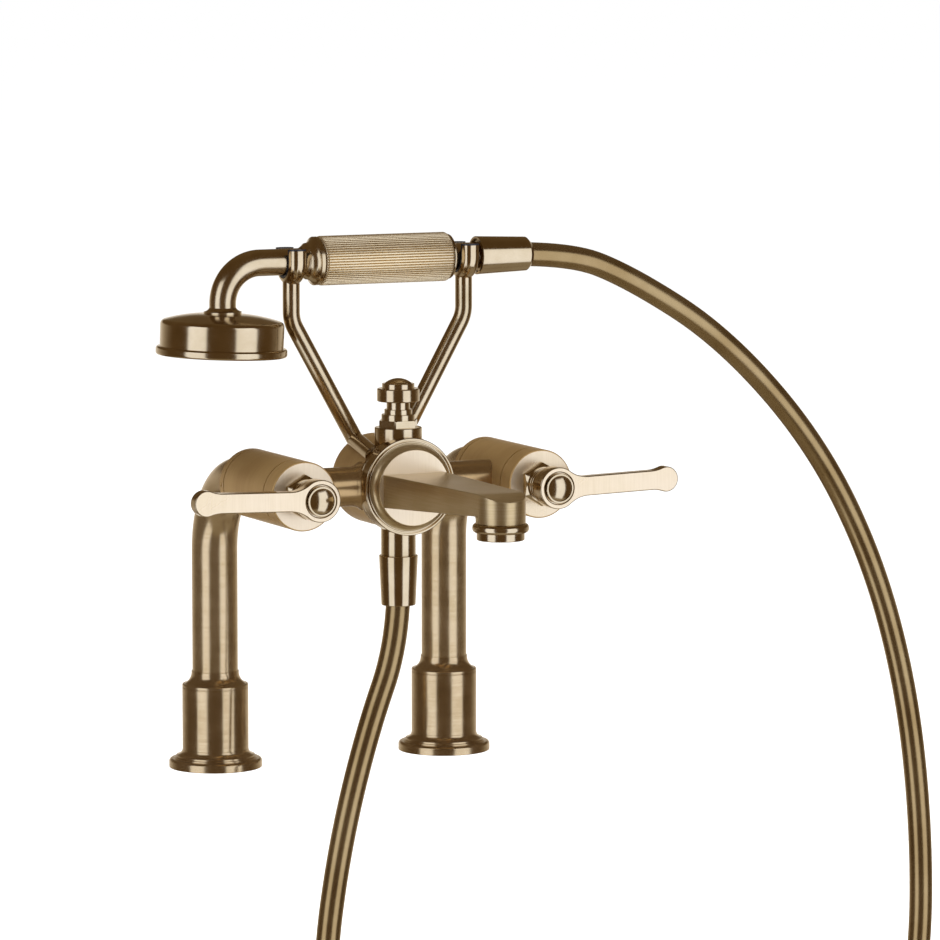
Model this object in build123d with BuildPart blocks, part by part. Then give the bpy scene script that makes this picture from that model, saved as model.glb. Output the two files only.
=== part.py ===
"""Deck-mounted bath mixer with two levers, a flat spout, a pull-up diverter,
a cradle and a hand shower on a hose. Millimetres, +Z up, the spout points to -Y.
The origin is on the deck, midway between the two inlets."""

import os
from math import cos, pi, radians, sin, sqrt, tan

from build123d import *

# Main layout
leg_pitch = 150.0  # between the two inlets
axis_height = 176.5  # common axis of the barrels and the drum above the deck
body_line = 99.5  # how far the drum's upright axis lies in front of the legs
cradle_line = 71.0  # how far the cradle stands in front of the legs
handset_stand = 129.5  # axis of the hand shower above the barrels' axis
handset_height = axis_height + handset_stand

# Clearances
running_fit = 0.05  # radial, between a turning or sliding pin and its bore
assembly_gap = 0.1  # radial or axial, between fixed pieces
free_gap = 0.35  # between pieces that move past each other

# Deck flanges and shroud collars
flange_radius = 27.8
flange_thickness = 5.4
flange_top = 11.0
step_width = 1.0
step_height = 0.95
cove_foot_radius = 23.4
flange_edge_round = 1.8
flange_cove_bulge = 0.9
collar_radius = 19.75
collar_wall = 1.75
collar_top = 50.3
collar_rim_round = 1.2

# Legs
leg_radius = 13.6
leg_wall = 1.6
bend_radius = 46.0
socket_top = 57.8
socket_lip = 0.6
socket_inset = 0.3
socket_cove_bulge = 1.3
socket_skirt = 6.0
union_height = 42.0
union_tail_radius = 14.8
union_tail_height = 12.4
inlet_thread_radius = 12.1
inlet_thread_depth = 14.0
inlet_bore_radius = 9.0
washer_seat_radius = 11.2
washer_bore_radius = 8.0
inlet_shelf = 5.0
washer_thickness = 2.0
tube_socket_depth = 12.0

# Valve barrels
barrel_radius = 20.1
union_ring_start = 56.0
union_ring_length = 7.0
union_ring_chamfer = 1.3
seam_chamfer = 0.35
valve_body_length = 59.0
face_ring_length = 13.0
face_plate_thickness = 7.0
face_edge_chamfer = 0.5
grub_screw_radius = 1.2
valve_passage_radius = 9.0
chamber_margin = 2.5  # how far the chamber reaches behind the side windows
chamber_radius = 15.0

# Headworks
cartridge_neck_radius = 10.9
cartridge_bore_radius = 10.0
disc_radius = 9.7
disc_thickness = 3.0
disc_port_radius = 3.4
disc_gap = 0.1
spindle_flange_thickness = 3.0
spindle_radius = 5.0
window_width = 9.0
gland_flats = 22.4
gland_hex_thickness = 4.5
gland_neck_radius = 10.3
gland_neck_length = 10.0
gland_groove_pitch = 2.4
gland_groove_size = 0.9
gland_groove_start = 1.9
gland_groove_count = 3
gland_cone_radius = 10.6  # conical front of the hexagon, at 45 degrees
spindle_square = 6.8
spindle_head_length = 6.3

# Levers
hub_radius = 12.15
hub_length = 9.9
hub_recess_radius = 9.35
hub_recess_depth = 3.0
lever_thickness = 7.0
lever_half_height = 5.7
lever_reach = 69.9  # hub axis to the centre of the rounded tip
lever_tip_radius = 7.4
lever_hub_sweep = 18.0  # radius of the hollow curves beside the hub
lever_tip_sweep = 20.0
lever_edge_round = 0.45
lever_tilt = 1.6  # degrees that the tips stand up when the valves are shut
cap_radius = 8.65
cap_rim = 0.75
cap_stand = 1.4
cap_dome = 2.8
cap_screw_radius = 2.0
cap_screw_length = 9.0
cap_screw_play = 1.0
cap_dome_set = 0.5  # dome's edge below the rim

# Cross pipes
pipe_radius = 11.5
pipe_wall = 1.5
pipe_flare = 2.6
pipe_flare_length = 6.5
pipe_flare_bulge = 0.55

# Drum
drum_radius = 26.5
drum_back = 62.0
drum_shoulder = 104.5
drum_front = 113.0
drum_spigot_radius = 24.0
drum_back_round = 1.6
drum_chamber_radius = 20.0
drum_wall = 5.0
drum_front_bore_radius = 8.0
ring_front = 117.0
ring_back_bead_radius = 28.2
ring_front_bead_radius = 28.5
ring_groove_radius = 27.1
ring_groove_width = 1.4
ring_back_bead_width = 4.9
ring_lip_radius = 25.6
ring_back_round = 0.8
ring_groove_round = 1.2
ring_front_round = 2.2
boss_front = 122.5
boss_face_radius = 22.4
boss_face_edge = 1.0
boss_cove = 1.0

# Spout
spout_reach = 239.0  # outlet axis in front of the legs
spout_root_half_width = 19.6
spout_tip_radius = 14.1
spout_root_top = 8.5  # above the barrel axis
spout_root_bottom = 10.7  # below it
spout_tip_top = 9.5  # where the nose begins to fall
spout_nose_top = 5.8
spout_tip_underside = 2.25
spout_nose_bulge = 1.1
spout_mouth = 7.4  # the outlet's lower rim below the barrel axis
spout_edge_round = 0.6
spout_lip_inset = 0.3  # lower rim of the tip inside the nose
waterway_half_width = 11.0
waterway_height = 5.6
waterway_lift = 1.4  # middle of the waterway above the barrel axis
outlet_bore_radius = 11.4
outlet_bore_depth = 7.6
aerator_spigot_length = 5.6
aerator_bead_radius = 16.0
aerator_bead_height = 5.2
aerator_ring_radius = 13.5
aerator_ring_height = 4.2
aerator_bead_round = 2.2
aerator_ring_round = 0.5
aerator_ring_count = 2
spoke_count = 6  # holes added from one ring of holes to the next
aerator_bore_radius = 9.6
aerator_insert_recess = 1.0
aerator_insert_height = 8.0
aerator_hole_radius = 1.1
aerator_hole_pitch = 3.6

# Diverter
diverter_collar_radius = 13.85
diverter_collar_top = 33.4  # above the barrel axis, as the other heights here
diverter_spigot_radius = 10.9
diverter_spigot_foot = 15.5
diverter_spigot_bore = 9.8
diverter_seat = 22.9
diverter_seat_bore = 6.0
diverter_collar_round = 0.5
bonnet_hex_chamfer = 0.4
bonnet_step_chamfer = 0.3
bonnet_spigot_radius = 9.0
bonnet_spigot_depth = 4.5
diverter_flats = 21.0
diverter_hex_height = 4.1
bonnet_step_radius = 9.8
bonnet_step_height = 3.5
bonnet_shoulder_radius = 8.15
bonnet_shoulder_height = 2.9
bonnet_neck_radius = 6.8
bonnet_neck_height = 4.2
rod_radius = 3.4
rod_foot = 3.0
rod_top = 57.5
rod_chamfer = 0.5
piston_radius = 8.8
piston_thickness = 5.0
diverter_travel = 8.0
piston_groove_depth = 0.7
piston_groove_width = 1.6
piston_lift = diverter_seat - diverter_travel - piston_thickness - free_gap  # its underside when it is down
knob_radius = 12.4
knob_skirt_height = 7.6
knob_step_radius = 9.45
knob_step_height = 2.9
knob_dome_radius = 8.1
knob_dome_height = 3.0
knob_edge_round = 0.7

# Hose outlet and its nut
outlet_radius = 10.15
outlet_top = 19.5  # below the barrel axis, as the other depths here
outlet_shoulder = 41.3
outlet_thread_radius = 9.9
outlet_bore = 6.6
nut_mouth_radius = 11.4
nut_tail_radius = 10.05
nut_length = 29.4
nut_tail_length = 11.3
nut_mouth_chamfer = 0.5
hose_washer_thickness = 2.0
outlet_thread_length = 14.1
outlet_thread_chamfer = 0.4

# Hose
hose_radius = 7.15
hose_bore_radius = 4.5
hose_length = 1500.0
corner_share = 0.45  # part of the shorter run that a corner's arc takes up
hose_first_run = 46.0  # straight, out of the handset
hose_last_run = 35.0  # straight, into the outlet

# Cradle
arm_radius = 5.0
arm_spread = 55.2  # each upright of the cradle from the middle
arm_elbow_drop = 34.5  # below the handset's axis
arm_elbow_radius = 20.0
arm_knee_spread = 15.1
arm_knee_rise = 24.0  # above the barrels' axis
arm_foot_spread = 19.5
arm_foot_rise = 18.7
arm_foot_line = 104.0
fork_width = 11.0
fork_wall = 4.4
fork_round = 4.8
fork_stand = 6.9  # prong tops above the handset's axis
liner_wall = 1.2
liner_lip = 0.8
liner_inset = 0.1  # lip's end inside the prong's face
fork_boss_length = 3.0

# Hand shower
neck_radius = 7.75
neck_wall = 1.4
neck_bend = 23.0
rose_offset = 98.3  # upright part of the neck from the middle
neck_collar_radius = 11.0
neck_collar_height = 3.5
neck_collar_drop = 2.1
neck_collar_bulge = 0.5
neck_insert = 9.0  # length of the neck inside the grip
ferrule_start = -49.2
ferrule_nose = 8.3
ferrule_waist = 10.6
ferrule_waist_length = 2.9
ferrule_belly_radius = 14.2
ferrule_belly_length = 5.0
ferrule_groove_radius = 12.6
ferrule_groove_width = 0.9
ferrule_nose_bulge = 0.1
ferrule_belly_bulge = 0.9
grip_start = -38.2
grip_end = 44.0
grip_radius = 14.45
grip_chamfer = 1.8
flute_count = 56
flute_depth = 0.55
flute_start_gap = 3.2
tail_shoulder_radius = 13.3
tail_shoulder_length = 1.0
tail_taper_length = 4.6
tail_cove_bulge = 0.9
tail_insert = 6.0  # length of the tail inside the grip
tail_bore_radius = 5.6
tail_thread_radius = 9.9
tail_thread_start = 65.5
tail_thread_end = 77.0
sleeve_start = 63.1
sleeve_end = 97.5
sleeve_mouth_radius = 11.3
sleeve_tail_radius = 10.0
sleeve_tail_length = 13.0
sleeve_end_chamfer = 2.4
sleeve_end_slope = 0.9  # depth of that chamfer to its length
sleeve_mouth_round = 0.3

# Rose of the hand shower
rose_tilt = 2.1  # degrees that the rose leans towards the hose
rose_radius = 35.9
rose_rim_radius = 38.15
rose_rim_height = 5.0
rose_side_height = 19.8
rose_dome_height = 24.3
rose_shoulder_round = 3.0
rose_wall = 2.6
rose_crown_flat = 12.0
rose_dome_bulge = 0.8
rose_rim_round = 1.4
rose_shelf = 3.0
rose_cavity_slope = 1.5
plate_radius = 34.6
plate_thickness = 2.4
plate_recess = 1.2
nozzle_radius = 1.3
nozzle_hole_gap = 0.3
nozzle_length = 3.0
nozzle_ring_pitch = 7.6
nozzle_ring_count = 4
mat_thickness = 2.0
mat_inset = 3.5  # from the plate's rim


def centre(points):
    """Mean of a few 2-D or 3-D points."""
    return tuple(sum(values) / len(points) for values in zip(*points))


def bowed(start, end, bulge):
    """Circular arc from start to end whose middle lies bulge to the left of the chord."""
    middle = centre([start, end])
    across = Vector(-(end[1] - start[1]), end[0] - start[0]).normalized()
    return ThreePointArc(start, (middle[0] + across.X * bulge, middle[1] + across.Y * bulge), end)


def vertex_at(section, x, y):
    """The sketch vertex nearest to a point of its plane."""
    return section.vertices().sort_by_distance((x, y, 0))[0]


def upright(x, y):
    """Section plane of pieces turned about an upright axis: (radius, height)."""
    return Plane(origin=(x, y, 0), x_dir=(1, 0, 0), z_dir=(0, -1, 0))


def upright_axis(x, y):
    return Axis((x, y, 0), (0, 0, 1))


def forward(x):
    """Section plane of pieces turned about a barrel's axis: (distance forward, radius)."""
    return Plane(origin=(x, 0, axis_height), x_dir=(0, -1, 0), z_dir=(-1, 0, 0))


def forward_axis(x):
    return Axis((x, 0, axis_height), (0, -1, 0))


def facing(x, distance):
    """Plane that faces the user, square to a barrel's axis."""
    return Plane(origin=(x, -distance, axis_height), x_dir=(1, 0, 0), z_dir=(0, -1, 0))


def lengthwise():
    """Section plane of pieces turned about the handset's axis: (distance along X, radius)."""
    return Plane(origin=(0, -cradle_line, handset_height), x_dir=(1, 0, 0), z_dir=(0, -1, 0))


handset_axis = Axis((0, -cradle_line, handset_height), (1, 0, 0))


def over_drum(level):
    """Level plane centred on the drum's upright axis, its height counted from the barrels' axis."""
    return Plane(origin=(0, -body_line, axis_height + level), z_dir=(0, 0, 1))


def save(part, name):
    """Labels a finished piece and writes it."""
    part.label = name
    export_step(part, f"parts/{name}.step")


# Legs, from the deck upwards


def make_deck_flange(x):
    """Round flange: a thick disc, two small steps and a cove up to the collar."""
    second_step = cove_foot_radius + step_width
    with BuildPart() as flange:
        with BuildSketch(upright(x, 0)) as section:
            with BuildLine():
                bore = union_tail_radius + free_gap
                cove_foot = (cove_foot_radius, flange_thickness + 2 * step_height)
                cove_top = (collar_radius, flange_top)
                Polyline(
                    cove_top,
                    (bore, flange_top),
                    (bore, 0),
                    (flange_radius, 0),
                    (flange_radius, flange_thickness),
                    (second_step, flange_thickness),
                    (second_step, flange_thickness + step_height),
                    (cove_foot_radius, flange_thickness + step_height),
                    cove_foot,
                )
                bowed(cove_foot, cove_top, -flange_cove_bulge)
            make_face()
            fillet(vertex_at(section, flange_radius, flange_thickness), flange_edge_round)
            fillet(vertex_at(section, second_step, flange_thickness + step_height), step_height / 3)
        revolve(axis=upright_axis(x, 0))
    return flange.part


def make_shroud_collar(x):
    """Plain collar that stands on the flange and hides the inlet union."""
    with BuildPart() as collar:
        with BuildSketch(upright(x, 0)) as section:
            with Locations((collar_radius - collar_wall / 2, (flange_top + collar_top) / 2)):
                Rectangle(collar_wall, collar_top - flange_top)
            fillet(vertex_at(section, collar_radius, collar_top), collar_rim_round)
        revolve(axis=upright_axis(x, 0))
    return collar.part


def make_leg_socket(x):
    """Coved socket that closes the collar around the leg."""
    bore = leg_radius + assembly_gap
    skirt_radius = collar_radius - collar_wall - assembly_gap
    shoulder_radius = collar_radius - collar_rim_round - socket_inset
    with BuildPart() as socket:
        with BuildSketch(upright(x, 0)):
            with BuildLine():
                shoulder = (shoulder_radius, collar_top)
                lip = (leg_radius + socket_lip, socket_top)
                Polyline(
                    lip,
                    (bore, socket_top),
                    (bore, collar_top - socket_skirt),
                    (skirt_radius, collar_top - socket_skirt),
                    (skirt_radius, collar_top),
                    shoulder,
                )
                bowed(shoulder, lip, -socket_cove_bulge)
            make_face()
        revolve(axis=upright_axis(x, 0))
    return socket.part


def make_inlet_union(x):
    """Inlet with an internal thread at the deck, a seat for its washer and a socket for the leg."""
    body_radius = collar_radius - collar_wall - free_gap
    shelf = inlet_thread_depth + inlet_shelf
    with BuildPart() as union:
        with BuildSketch(upright(x, 0)):
            with BuildLine():
                Polyline(
                    (inlet_thread_radius, 0),
                    (union_tail_radius, 0),
                    (union_tail_radius, union_tail_height),
                    (body_radius, union_tail_height),
                    (body_radius, union_height),
                    (leg_radius + assembly_gap, union_height),
                    (leg_radius + assembly_gap, union_height - tube_socket_depth),
                    (leg_radius - leg_wall, union_height - tube_socket_depth),
                    (leg_radius - leg_wall, shelf),
                    (inlet_bore_radius, shelf),
                    (inlet_bore_radius, inlet_thread_depth + washer_thickness),
                    (washer_seat_radius, inlet_thread_depth + washer_thickness),
                    (washer_seat_radius, inlet_thread_depth),
                    (inlet_thread_radius, inlet_thread_depth),
                    close=True,
                )
            make_face()
        revolve(axis=upright_axis(x, 0))
    return union.part


def make_inlet_washers():
    """A flat washer in its seat above each thread."""
    with BuildPart() as washers:
        with BuildSketch(Plane.XY.offset(inlet_thread_depth)):
            with GridLocations(leg_pitch, 1, 2, 1):
                Circle(washer_seat_radius - assembly_gap)
                Circle(washer_bore_radius, mode=Mode.SUBTRACT)
        extrude(amount=washer_thickness)
    return washers.part


def make_leg_tube(x):
    """Upright tube that bends forward into the barrel."""
    foot = union_height - tube_socket_depth
    end = union_ring_start + union_ring_length
    with BuildPart() as tube:
        with BuildLine(Plane(origin=(x, 0, 0), x_dir=(0, -1, 0), z_dir=(-1, 0, 0))) as path:
            FilletPolyline((0, foot), (0, axis_height), (end, axis_height), radius=bend_radius)
        with BuildSketch(Plane(origin=(x, 0, foot), z_dir=(0, 0, 1))):
            Circle(leg_radius)
            Circle(leg_radius - leg_wall, mode=Mode.SUBTRACT)
        sweep(path=path.wires()[0])
    return tube.part


# Valve barrels, from the back to the front


def make_union_ring(x):
    """Ring on the leg tube behind the barrel, held by a grub screw."""
    end = union_ring_start + union_ring_length
    outward = Vector(x, 0, 0).normalized()
    with BuildPart() as ring:
        with BuildSketch(forward(x)) as section:
            inner = leg_radius + assembly_gap
            with Locations(((union_ring_start + end) / 2, (barrel_radius + inner) / 2)):
                Rectangle(union_ring_length, barrel_radius - inner)
            chamfer(vertex_at(section, union_ring_start, barrel_radius), union_ring_chamfer)
            chamfer(vertex_at(section, end, barrel_radius), seam_chamfer)
        revolve(axis=forward_axis(x))
        hole_plane = Plane(
            origin=(x, -(union_ring_start + union_ring_length / 2), axis_height),
            z_dir=outward,
        )
        with BuildSketch(hole_plane.offset(leg_radius)):
            Circle(grub_screw_radius)
        extrude(amount=barrel_radius, mode=Mode.SUBTRACT)
    return ring.part


def chamber_start():
    return body_line - window_width - chamber_margin


def make_valve_body(x):
    """Barrel with the cartridge chamber and the port to the cross pipe."""
    start = union_ring_start + union_ring_length
    end = start + valve_body_length
    chamber = chamber_start()
    inward = Vector(-x, 0, 0).normalized()
    with BuildPart() as body:
        with BuildSketch(forward(x)) as section:
            with BuildLine():
                Polyline(
                    (start, valve_passage_radius),
                    (start, barrel_radius),
                    (end, barrel_radius),
                    (end, chamber_radius),
                    (chamber, chamber_radius),
                    (chamber, valve_passage_radius),
                    close=True,
                )
            make_face()
            chamfer(vertex_at(section, start, barrel_radius), seam_chamfer)
            chamfer(vertex_at(section, end, barrel_radius), seam_chamfer)
        revolve(axis=forward_axis(x))
        with BuildSketch(Plane(origin=(x, -body_line, axis_height), z_dir=inward)):
            Circle(pipe_radius - pipe_wall)
        extrude(amount=barrel_radius, mode=Mode.SUBTRACT)
    return body.part


def make_face_ring(x):
    """Front ring with the flat brushed face around the hexagon."""
    start = union_ring_start + union_ring_length + valve_body_length
    end = start + face_ring_length
    neck_bore = cartridge_neck_radius + assembly_gap
    with BuildPart() as ring:
        with BuildSketch(forward(x)) as section:
            with BuildLine():
                Polyline(
                    (start, chamber_radius),
                    (start, barrel_radius),
                    (end, barrel_radius),
                    (end, neck_bore),
                    (end - face_plate_thickness, neck_bore),
                    (end - face_plate_thickness, chamber_radius),
                    close=True,
                )
            make_face()
            chamfer(vertex_at(section, start, barrel_radius), seam_chamfer)
            chamfer(vertex_at(section, end, barrel_radius), face_edge_chamfer)
        revolve(axis=forward_axis(x))
    return ring.part


def cartridge_start():
    return chamber_start() + assembly_gap


def face_distance():
    return union_ring_start + union_ring_length + valve_body_length + face_ring_length


def make_cartridge(x):
    """Headwork body: open at the back for the discs, with side windows and a neck."""
    start = cartridge_start()
    shoulder = face_distance() - face_plate_thickness - assembly_gap
    stack = 2 * disc_thickness + disc_gap + spindle_flange_thickness + free_gap
    with BuildPart() as cartridge:
        with BuildSketch(forward(x)):
            with BuildLine():
                bore = spindle_radius + running_fit
                outer = chamber_radius - assembly_gap
                Polyline(
                    (start, cartridge_bore_radius),
                    (start, outer),
                    (shoulder, outer),
                    (shoulder, cartridge_neck_radius),
                    (face_distance(), cartridge_neck_radius),
                    (face_distance(), bore),
                    (start + stack, bore),
                    (start + stack, cartridge_bore_radius),
                    close=True,
                )
            make_face()
        revolve(axis=forward_axis(x))
        window_depth = chamber_radius - cartridge_bore_radius
        with BuildSketch(Plane(origin=(x, -body_line, axis_height), z_dir=(1, 0, 0))):
            SlotOverall(2 * window_width, window_width)
        extrude(amount=chamber_radius, both=True, mode=Mode.SUBTRACT)
        with BuildSketch(forward(x)):
            plug_start = start + stack
            with Locations(((plug_start + shoulder) / 2, (cartridge_bore_radius + bore) / 2)):
                Rectangle(shoulder - plug_start, cartridge_bore_radius - bore)
        revolve(axis=forward_axis(x))
    return cartridge.part


def make_fixed_discs():
    """Ceramic discs that stand still, with two ports each."""
    start = cartridge_start()
    with BuildPart() as discs:
        with BuildSketch(Plane(origin=(0, -start, axis_height), x_dir=(1, 0, 0), z_dir=(0, -1, 0))):
            with GridLocations(leg_pitch, 1, 2, 1):
                Circle(disc_radius)
            with GridLocations(leg_pitch, disc_radius, 2, 2):
                Circle(disc_port_radius, mode=Mode.SUBTRACT)
        extrude(amount=disc_thickness)
    return discs.part


def make_moving_disc(x):
    """Ceramic disc that the spindle turns over the fixed one."""
    start = cartridge_start() + disc_thickness + disc_gap
    with BuildPart() as disc:
        with BuildSketch(facing(x, start)):
            Circle(disc_radius)
            with GridLocations(disc_radius, 1, 2, 1):
                Circle(disc_port_radius, mode=Mode.SUBTRACT)
        extrude(amount=disc_thickness)
    return disc.part


def make_gland_nut(x):
    """Hexagon against the face, with a ringed neck that carries the spindle."""
    start = face_distance() + assembly_gap
    neck_start = start + gland_hex_thickness
    with BuildPart() as nut:
        with BuildSketch(facing(x, start)):
            RegularPolygon(gland_flats / 2, 6, major_radius=False, rotation=30)
        extrude(amount=gland_hex_thickness)
        with BuildSketch(forward(x)):
            with BuildLine():
                Polyline(
                    (neck_start, gland_cone_radius),
                    (neck_start, gland_flats),
                    (neck_start + gland_cone_radius - gland_flats, gland_flats),
                    close=True,
                )
            make_face()
        revolve(axis=forward_axis(x), mode=Mode.SUBTRACT)
        with BuildSketch(facing(x, neck_start)):
            Circle(gland_neck_radius)
        extrude(amount=gland_neck_length)
        with BuildSketch(forward(x)):
            for ring in range(gland_groove_count):
                groove = neck_start + gland_groove_start + ring * gland_groove_pitch
                with Locations((groove, gland_neck_radius)):
                    Circle(gland_groove_size)
        revolve(axis=forward_axis(x), mode=Mode.SUBTRACT)
        with BuildSketch(facing(x, start)):
            Circle(spindle_radius + running_fit)
        extrude(amount=gland_hex_thickness + gland_neck_length, mode=Mode.SUBTRACT)
    return nut.part


def hub_start():
    return face_distance() + assembly_gap + gland_hex_thickness + gland_neck_length + free_gap


def make_spindle(x):
    """Spindle with the flange that drives the disc and a square head for the lever."""
    start = cartridge_start() + 2 * disc_thickness + disc_gap
    with BuildPart() as spindle:
        with BuildSketch(facing(x, start)):
            Circle(disc_radius)
        extrude(amount=spindle_flange_thickness)
        with BuildSketch(facing(x, start)):
            Circle(spindle_radius)
        extrude(amount=hub_start() - start)
        with BuildSketch(facing(x, hub_start())):
            Rectangle(spindle_square, spindle_square)
        extrude(amount=spindle_head_length)
        with BuildSketch(facing(x, hub_start() + spindle_head_length)):
            Circle(cap_screw_radius + running_fit)
        extrude(amount=-cap_screw_length - cap_screw_play, mode=Mode.SUBTRACT)
    return spindle.part


def sweep_points(radius, half_height, sweep_radius):
    """Where a hollow curve leaves a round end and where it meets the bar's edge."""
    reach = sqrt((radius + sweep_radius) ** 2 - (half_height + sweep_radius) ** 2)
    share = radius / (radius + sweep_radius)
    on_round = (reach * share, (half_height + sweep_radius) * share)
    return on_round, reach


def make_lever(x):
    """Flat lever: round hub, hollow curves, slim bar and a rounded tip."""
    outward = 1 if x > 0 else -1
    front = hub_start() + hub_length
    leaning = Vector(outward * cos(radians(lever_tilt)), 0, sin(radians(lever_tilt)))
    hub_round, hub_edge = sweep_points(hub_radius, lever_half_height, lever_hub_sweep)
    tip_round, tip_edge = sweep_points(lever_tip_radius, lever_half_height, lever_tip_sweep)

    def lever_plane(distance):
        return Plane(origin=(x, -distance, axis_height), x_dir=leaning, z_dir=(0, -1, 0))

    with BuildPart() as lever:
        with BuildSketch(lever_plane(front - lever_thickness)):
            with BuildLine():
                for level in (1, -1):
                    hub_out = (hub_round[0], level * hub_round[1])
                    bar_in = (hub_edge, level * lever_half_height)
                    bar_out = (lever_reach - tip_edge, level * lever_half_height)
                    tip_in = (lever_reach - tip_round[0], level * tip_round[1])
                    RadiusArc(hub_out, bar_in, -level * lever_hub_sweep)
                    Line(bar_in, bar_out)
                    RadiusArc(bar_out, tip_in, -level * lever_tip_sweep)
                    ThreePointArc(
                        tip_in,
                        (
                            lever_reach + lever_tip_radius * sin(radians(45)),
                            level * lever_tip_radius * cos(radians(45)),
                        ),
                        (lever_reach + lever_tip_radius, 0),
                    )
                    Line(hub_out, (0, hub_out[1]))
                Line((0, hub_round[1]), (0, -hub_round[1]))
            make_face()
            Circle(hub_radius)
        extrude(amount=lever_thickness)
        with BuildSketch(lever_plane(hub_start())):
            Circle(hub_radius)
        extrude(amount=hub_length)
        chamfer(lever.faces().sort_by(Axis.Y)[0].outer_wire().edges(), lever_edge_round)
        with BuildSketch(lever_plane(front)):
            Circle(hub_recess_radius)
        extrude(amount=-hub_recess_depth, mode=Mode.SUBTRACT)
        with BuildSketch(facing(x, hub_start())):
            Rectangle(spindle_square + assembly_gap, spindle_square + assembly_gap)
        extrude(amount=hub_length - hub_recess_depth, mode=Mode.SUBTRACT)
    return lever.part


def make_lever_cap(x):
    """Domed cap in the hub's recess, in one piece with its screw."""
    back = hub_start() + hub_length - hub_recess_depth
    rim = hub_start() + hub_length + cap_stand
    inner = cap_radius - cap_rim
    with BuildPart() as cap:
        with BuildSketch(forward(x)) as section:
            with BuildLine():
                edge = (rim - cap_dome_set, inner)
                crown = (rim - cap_dome_set + cap_dome, 0)
                Polyline(
                    crown,
                    (back - cap_screw_length, 0),
                    (back - cap_screw_length, cap_screw_radius),
                    (back, cap_screw_radius),
                    (back, cap_radius),
                    (rim, cap_radius),
                    (rim, inner),
                    edge,
                )
                arc_radius = (inner**2 + cap_dome**2) / (2 * cap_dome)
                ThreePointArc(
                    edge,
                    (crown[0] - arc_radius + sqrt(arc_radius**2 - (inner / 2) ** 2), inner / 2),
                    crown,
                )
            make_face()
            fillet(vertex_at(section, rim, cap_radius), cap_rim / 2)
        revolve(axis=forward_axis(x))
    return cap.part


# Cross pipes, drum and spout


def make_cross_pipe(x):
    """Pipe from a barrel to the drum, shaped to both and flared at the drum."""
    inward = Vector(-x, 0, 0).normalized()
    axis_origin = (x, -body_line, axis_height)
    section_plane = Plane(origin=axis_origin, x_dir=inward, z_dir=(0, -inward.X, 0))
    span = leg_pitch / 2
    flare_end = span - drum_radius + pipe_flare
    with BuildPart() as pipe:
        with BuildSketch(section_plane):
            with BuildLine():
                flare_start = (flare_end - pipe_flare_length, pipe_radius)
                flare_top = (flare_end, pipe_radius + pipe_flare)
                bowed(flare_start, flare_top, -pipe_flare_bulge)
                Polyline(
                    flare_top,
                    (span, pipe_radius + pipe_flare),
                    (span, pipe_radius - pipe_wall),
                    (0, pipe_radius - pipe_wall),
                    (0, pipe_radius),
                    flare_start,
                )
            make_face()
        revolve(axis=Axis(axis_origin, (inward.X, 0, 0)))
        with BuildSketch(facing(x, drum_back)):
            Circle(barrel_radius + assembly_gap)
        extrude(amount=drum_front - drum_back, mode=Mode.SUBTRACT)
        with BuildSketch(facing(0, drum_back)):
            Circle(drum_radius + assembly_gap)
        extrude(amount=drum_front - drum_back, mode=Mode.SUBTRACT)
        with BuildSketch(facing(0, drum_shoulder - assembly_gap)):
            Circle(ring_front_bead_radius + assembly_gap)
        extrude(amount=ring_front - drum_shoulder, mode=Mode.SUBTRACT)
    return pipe.part.solids().sort_by(SortBy.VOLUME)[-1]


def make_mixing_drum():
    """Drum in which the water mixes, with ports for pipes, diverter, hose and spout."""
    with BuildPart() as drum:
        with BuildSketch(forward(0)) as section:
            with BuildLine():
                Polyline(
                    (drum_back, 0),
                    (drum_back, drum_radius),
                    (drum_shoulder, drum_radius),
                    (drum_shoulder, drum_spigot_radius),
                    (drum_front, drum_spigot_radius),
                    (drum_front, drum_front_bore_radius),
                    (drum_front - drum_wall, drum_front_bore_radius),
                    (drum_front - drum_wall, drum_chamber_radius),
                    (drum_back + drum_wall, drum_chamber_radius),
                    (drum_back + drum_wall, 0),
                    close=True,
                )
            make_face()
            fillet(vertex_at(section, drum_back, drum_radius), drum_back_round)
        revolve(axis=forward_axis(0))
        with BuildSketch(Plane(origin=(0, -body_line, axis_height), z_dir=(1, 0, 0))):
            Circle(pipe_radius - pipe_wall)
        extrude(amount=drum_radius, both=True, mode=Mode.SUBTRACT)
        with BuildSketch(over_drum(0)):
            Circle(diverter_spigot_radius + assembly_gap)
        extrude(amount=drum_radius, mode=Mode.SUBTRACT)
        with BuildSketch(Plane(origin=(0, -body_line, axis_height), z_dir=(0, 0, -1))):
            Circle(outlet_radius + assembly_gap)
        extrude(amount=drum_radius, mode=Mode.SUBTRACT)
    return drum.part


def make_front_ring():
    """Double-beaded ring around the front of the drum."""
    groove_start = drum_shoulder + ring_back_bead_width
    groove_end = groove_start + ring_groove_width
    bore = drum_spigot_radius + assembly_gap
    with BuildPart() as ring:
        with BuildSketch(forward(0)) as section:
            with BuildLine():
                Polyline(
                    (drum_shoulder, bore),
                    (drum_shoulder, ring_back_bead_radius),
                    (groove_start, ring_back_bead_radius),
                    (groove_start, ring_groove_radius),
                    (groove_end, ring_groove_radius),
                    (groove_end, ring_front_bead_radius),
                    (ring_front, ring_front_bead_radius),
                    (ring_front, ring_lip_radius),
                    (drum_front, ring_lip_radius),
                    (drum_front, bore),
                    close=True,
                )
            make_face()
            fillet(vertex_at(section, drum_shoulder, ring_back_bead_radius), ring_back_round)
            fillet(vertex_at(section, groove_start, ring_back_bead_radius), ring_back_round)
            fillet(vertex_at(section, groove_end, ring_front_bead_radius), ring_groove_round)
            fillet(vertex_at(section, ring_front, ring_front_bead_radius), ring_front_round)
        revolve(axis=forward_axis(0))
    return ring.part


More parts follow.
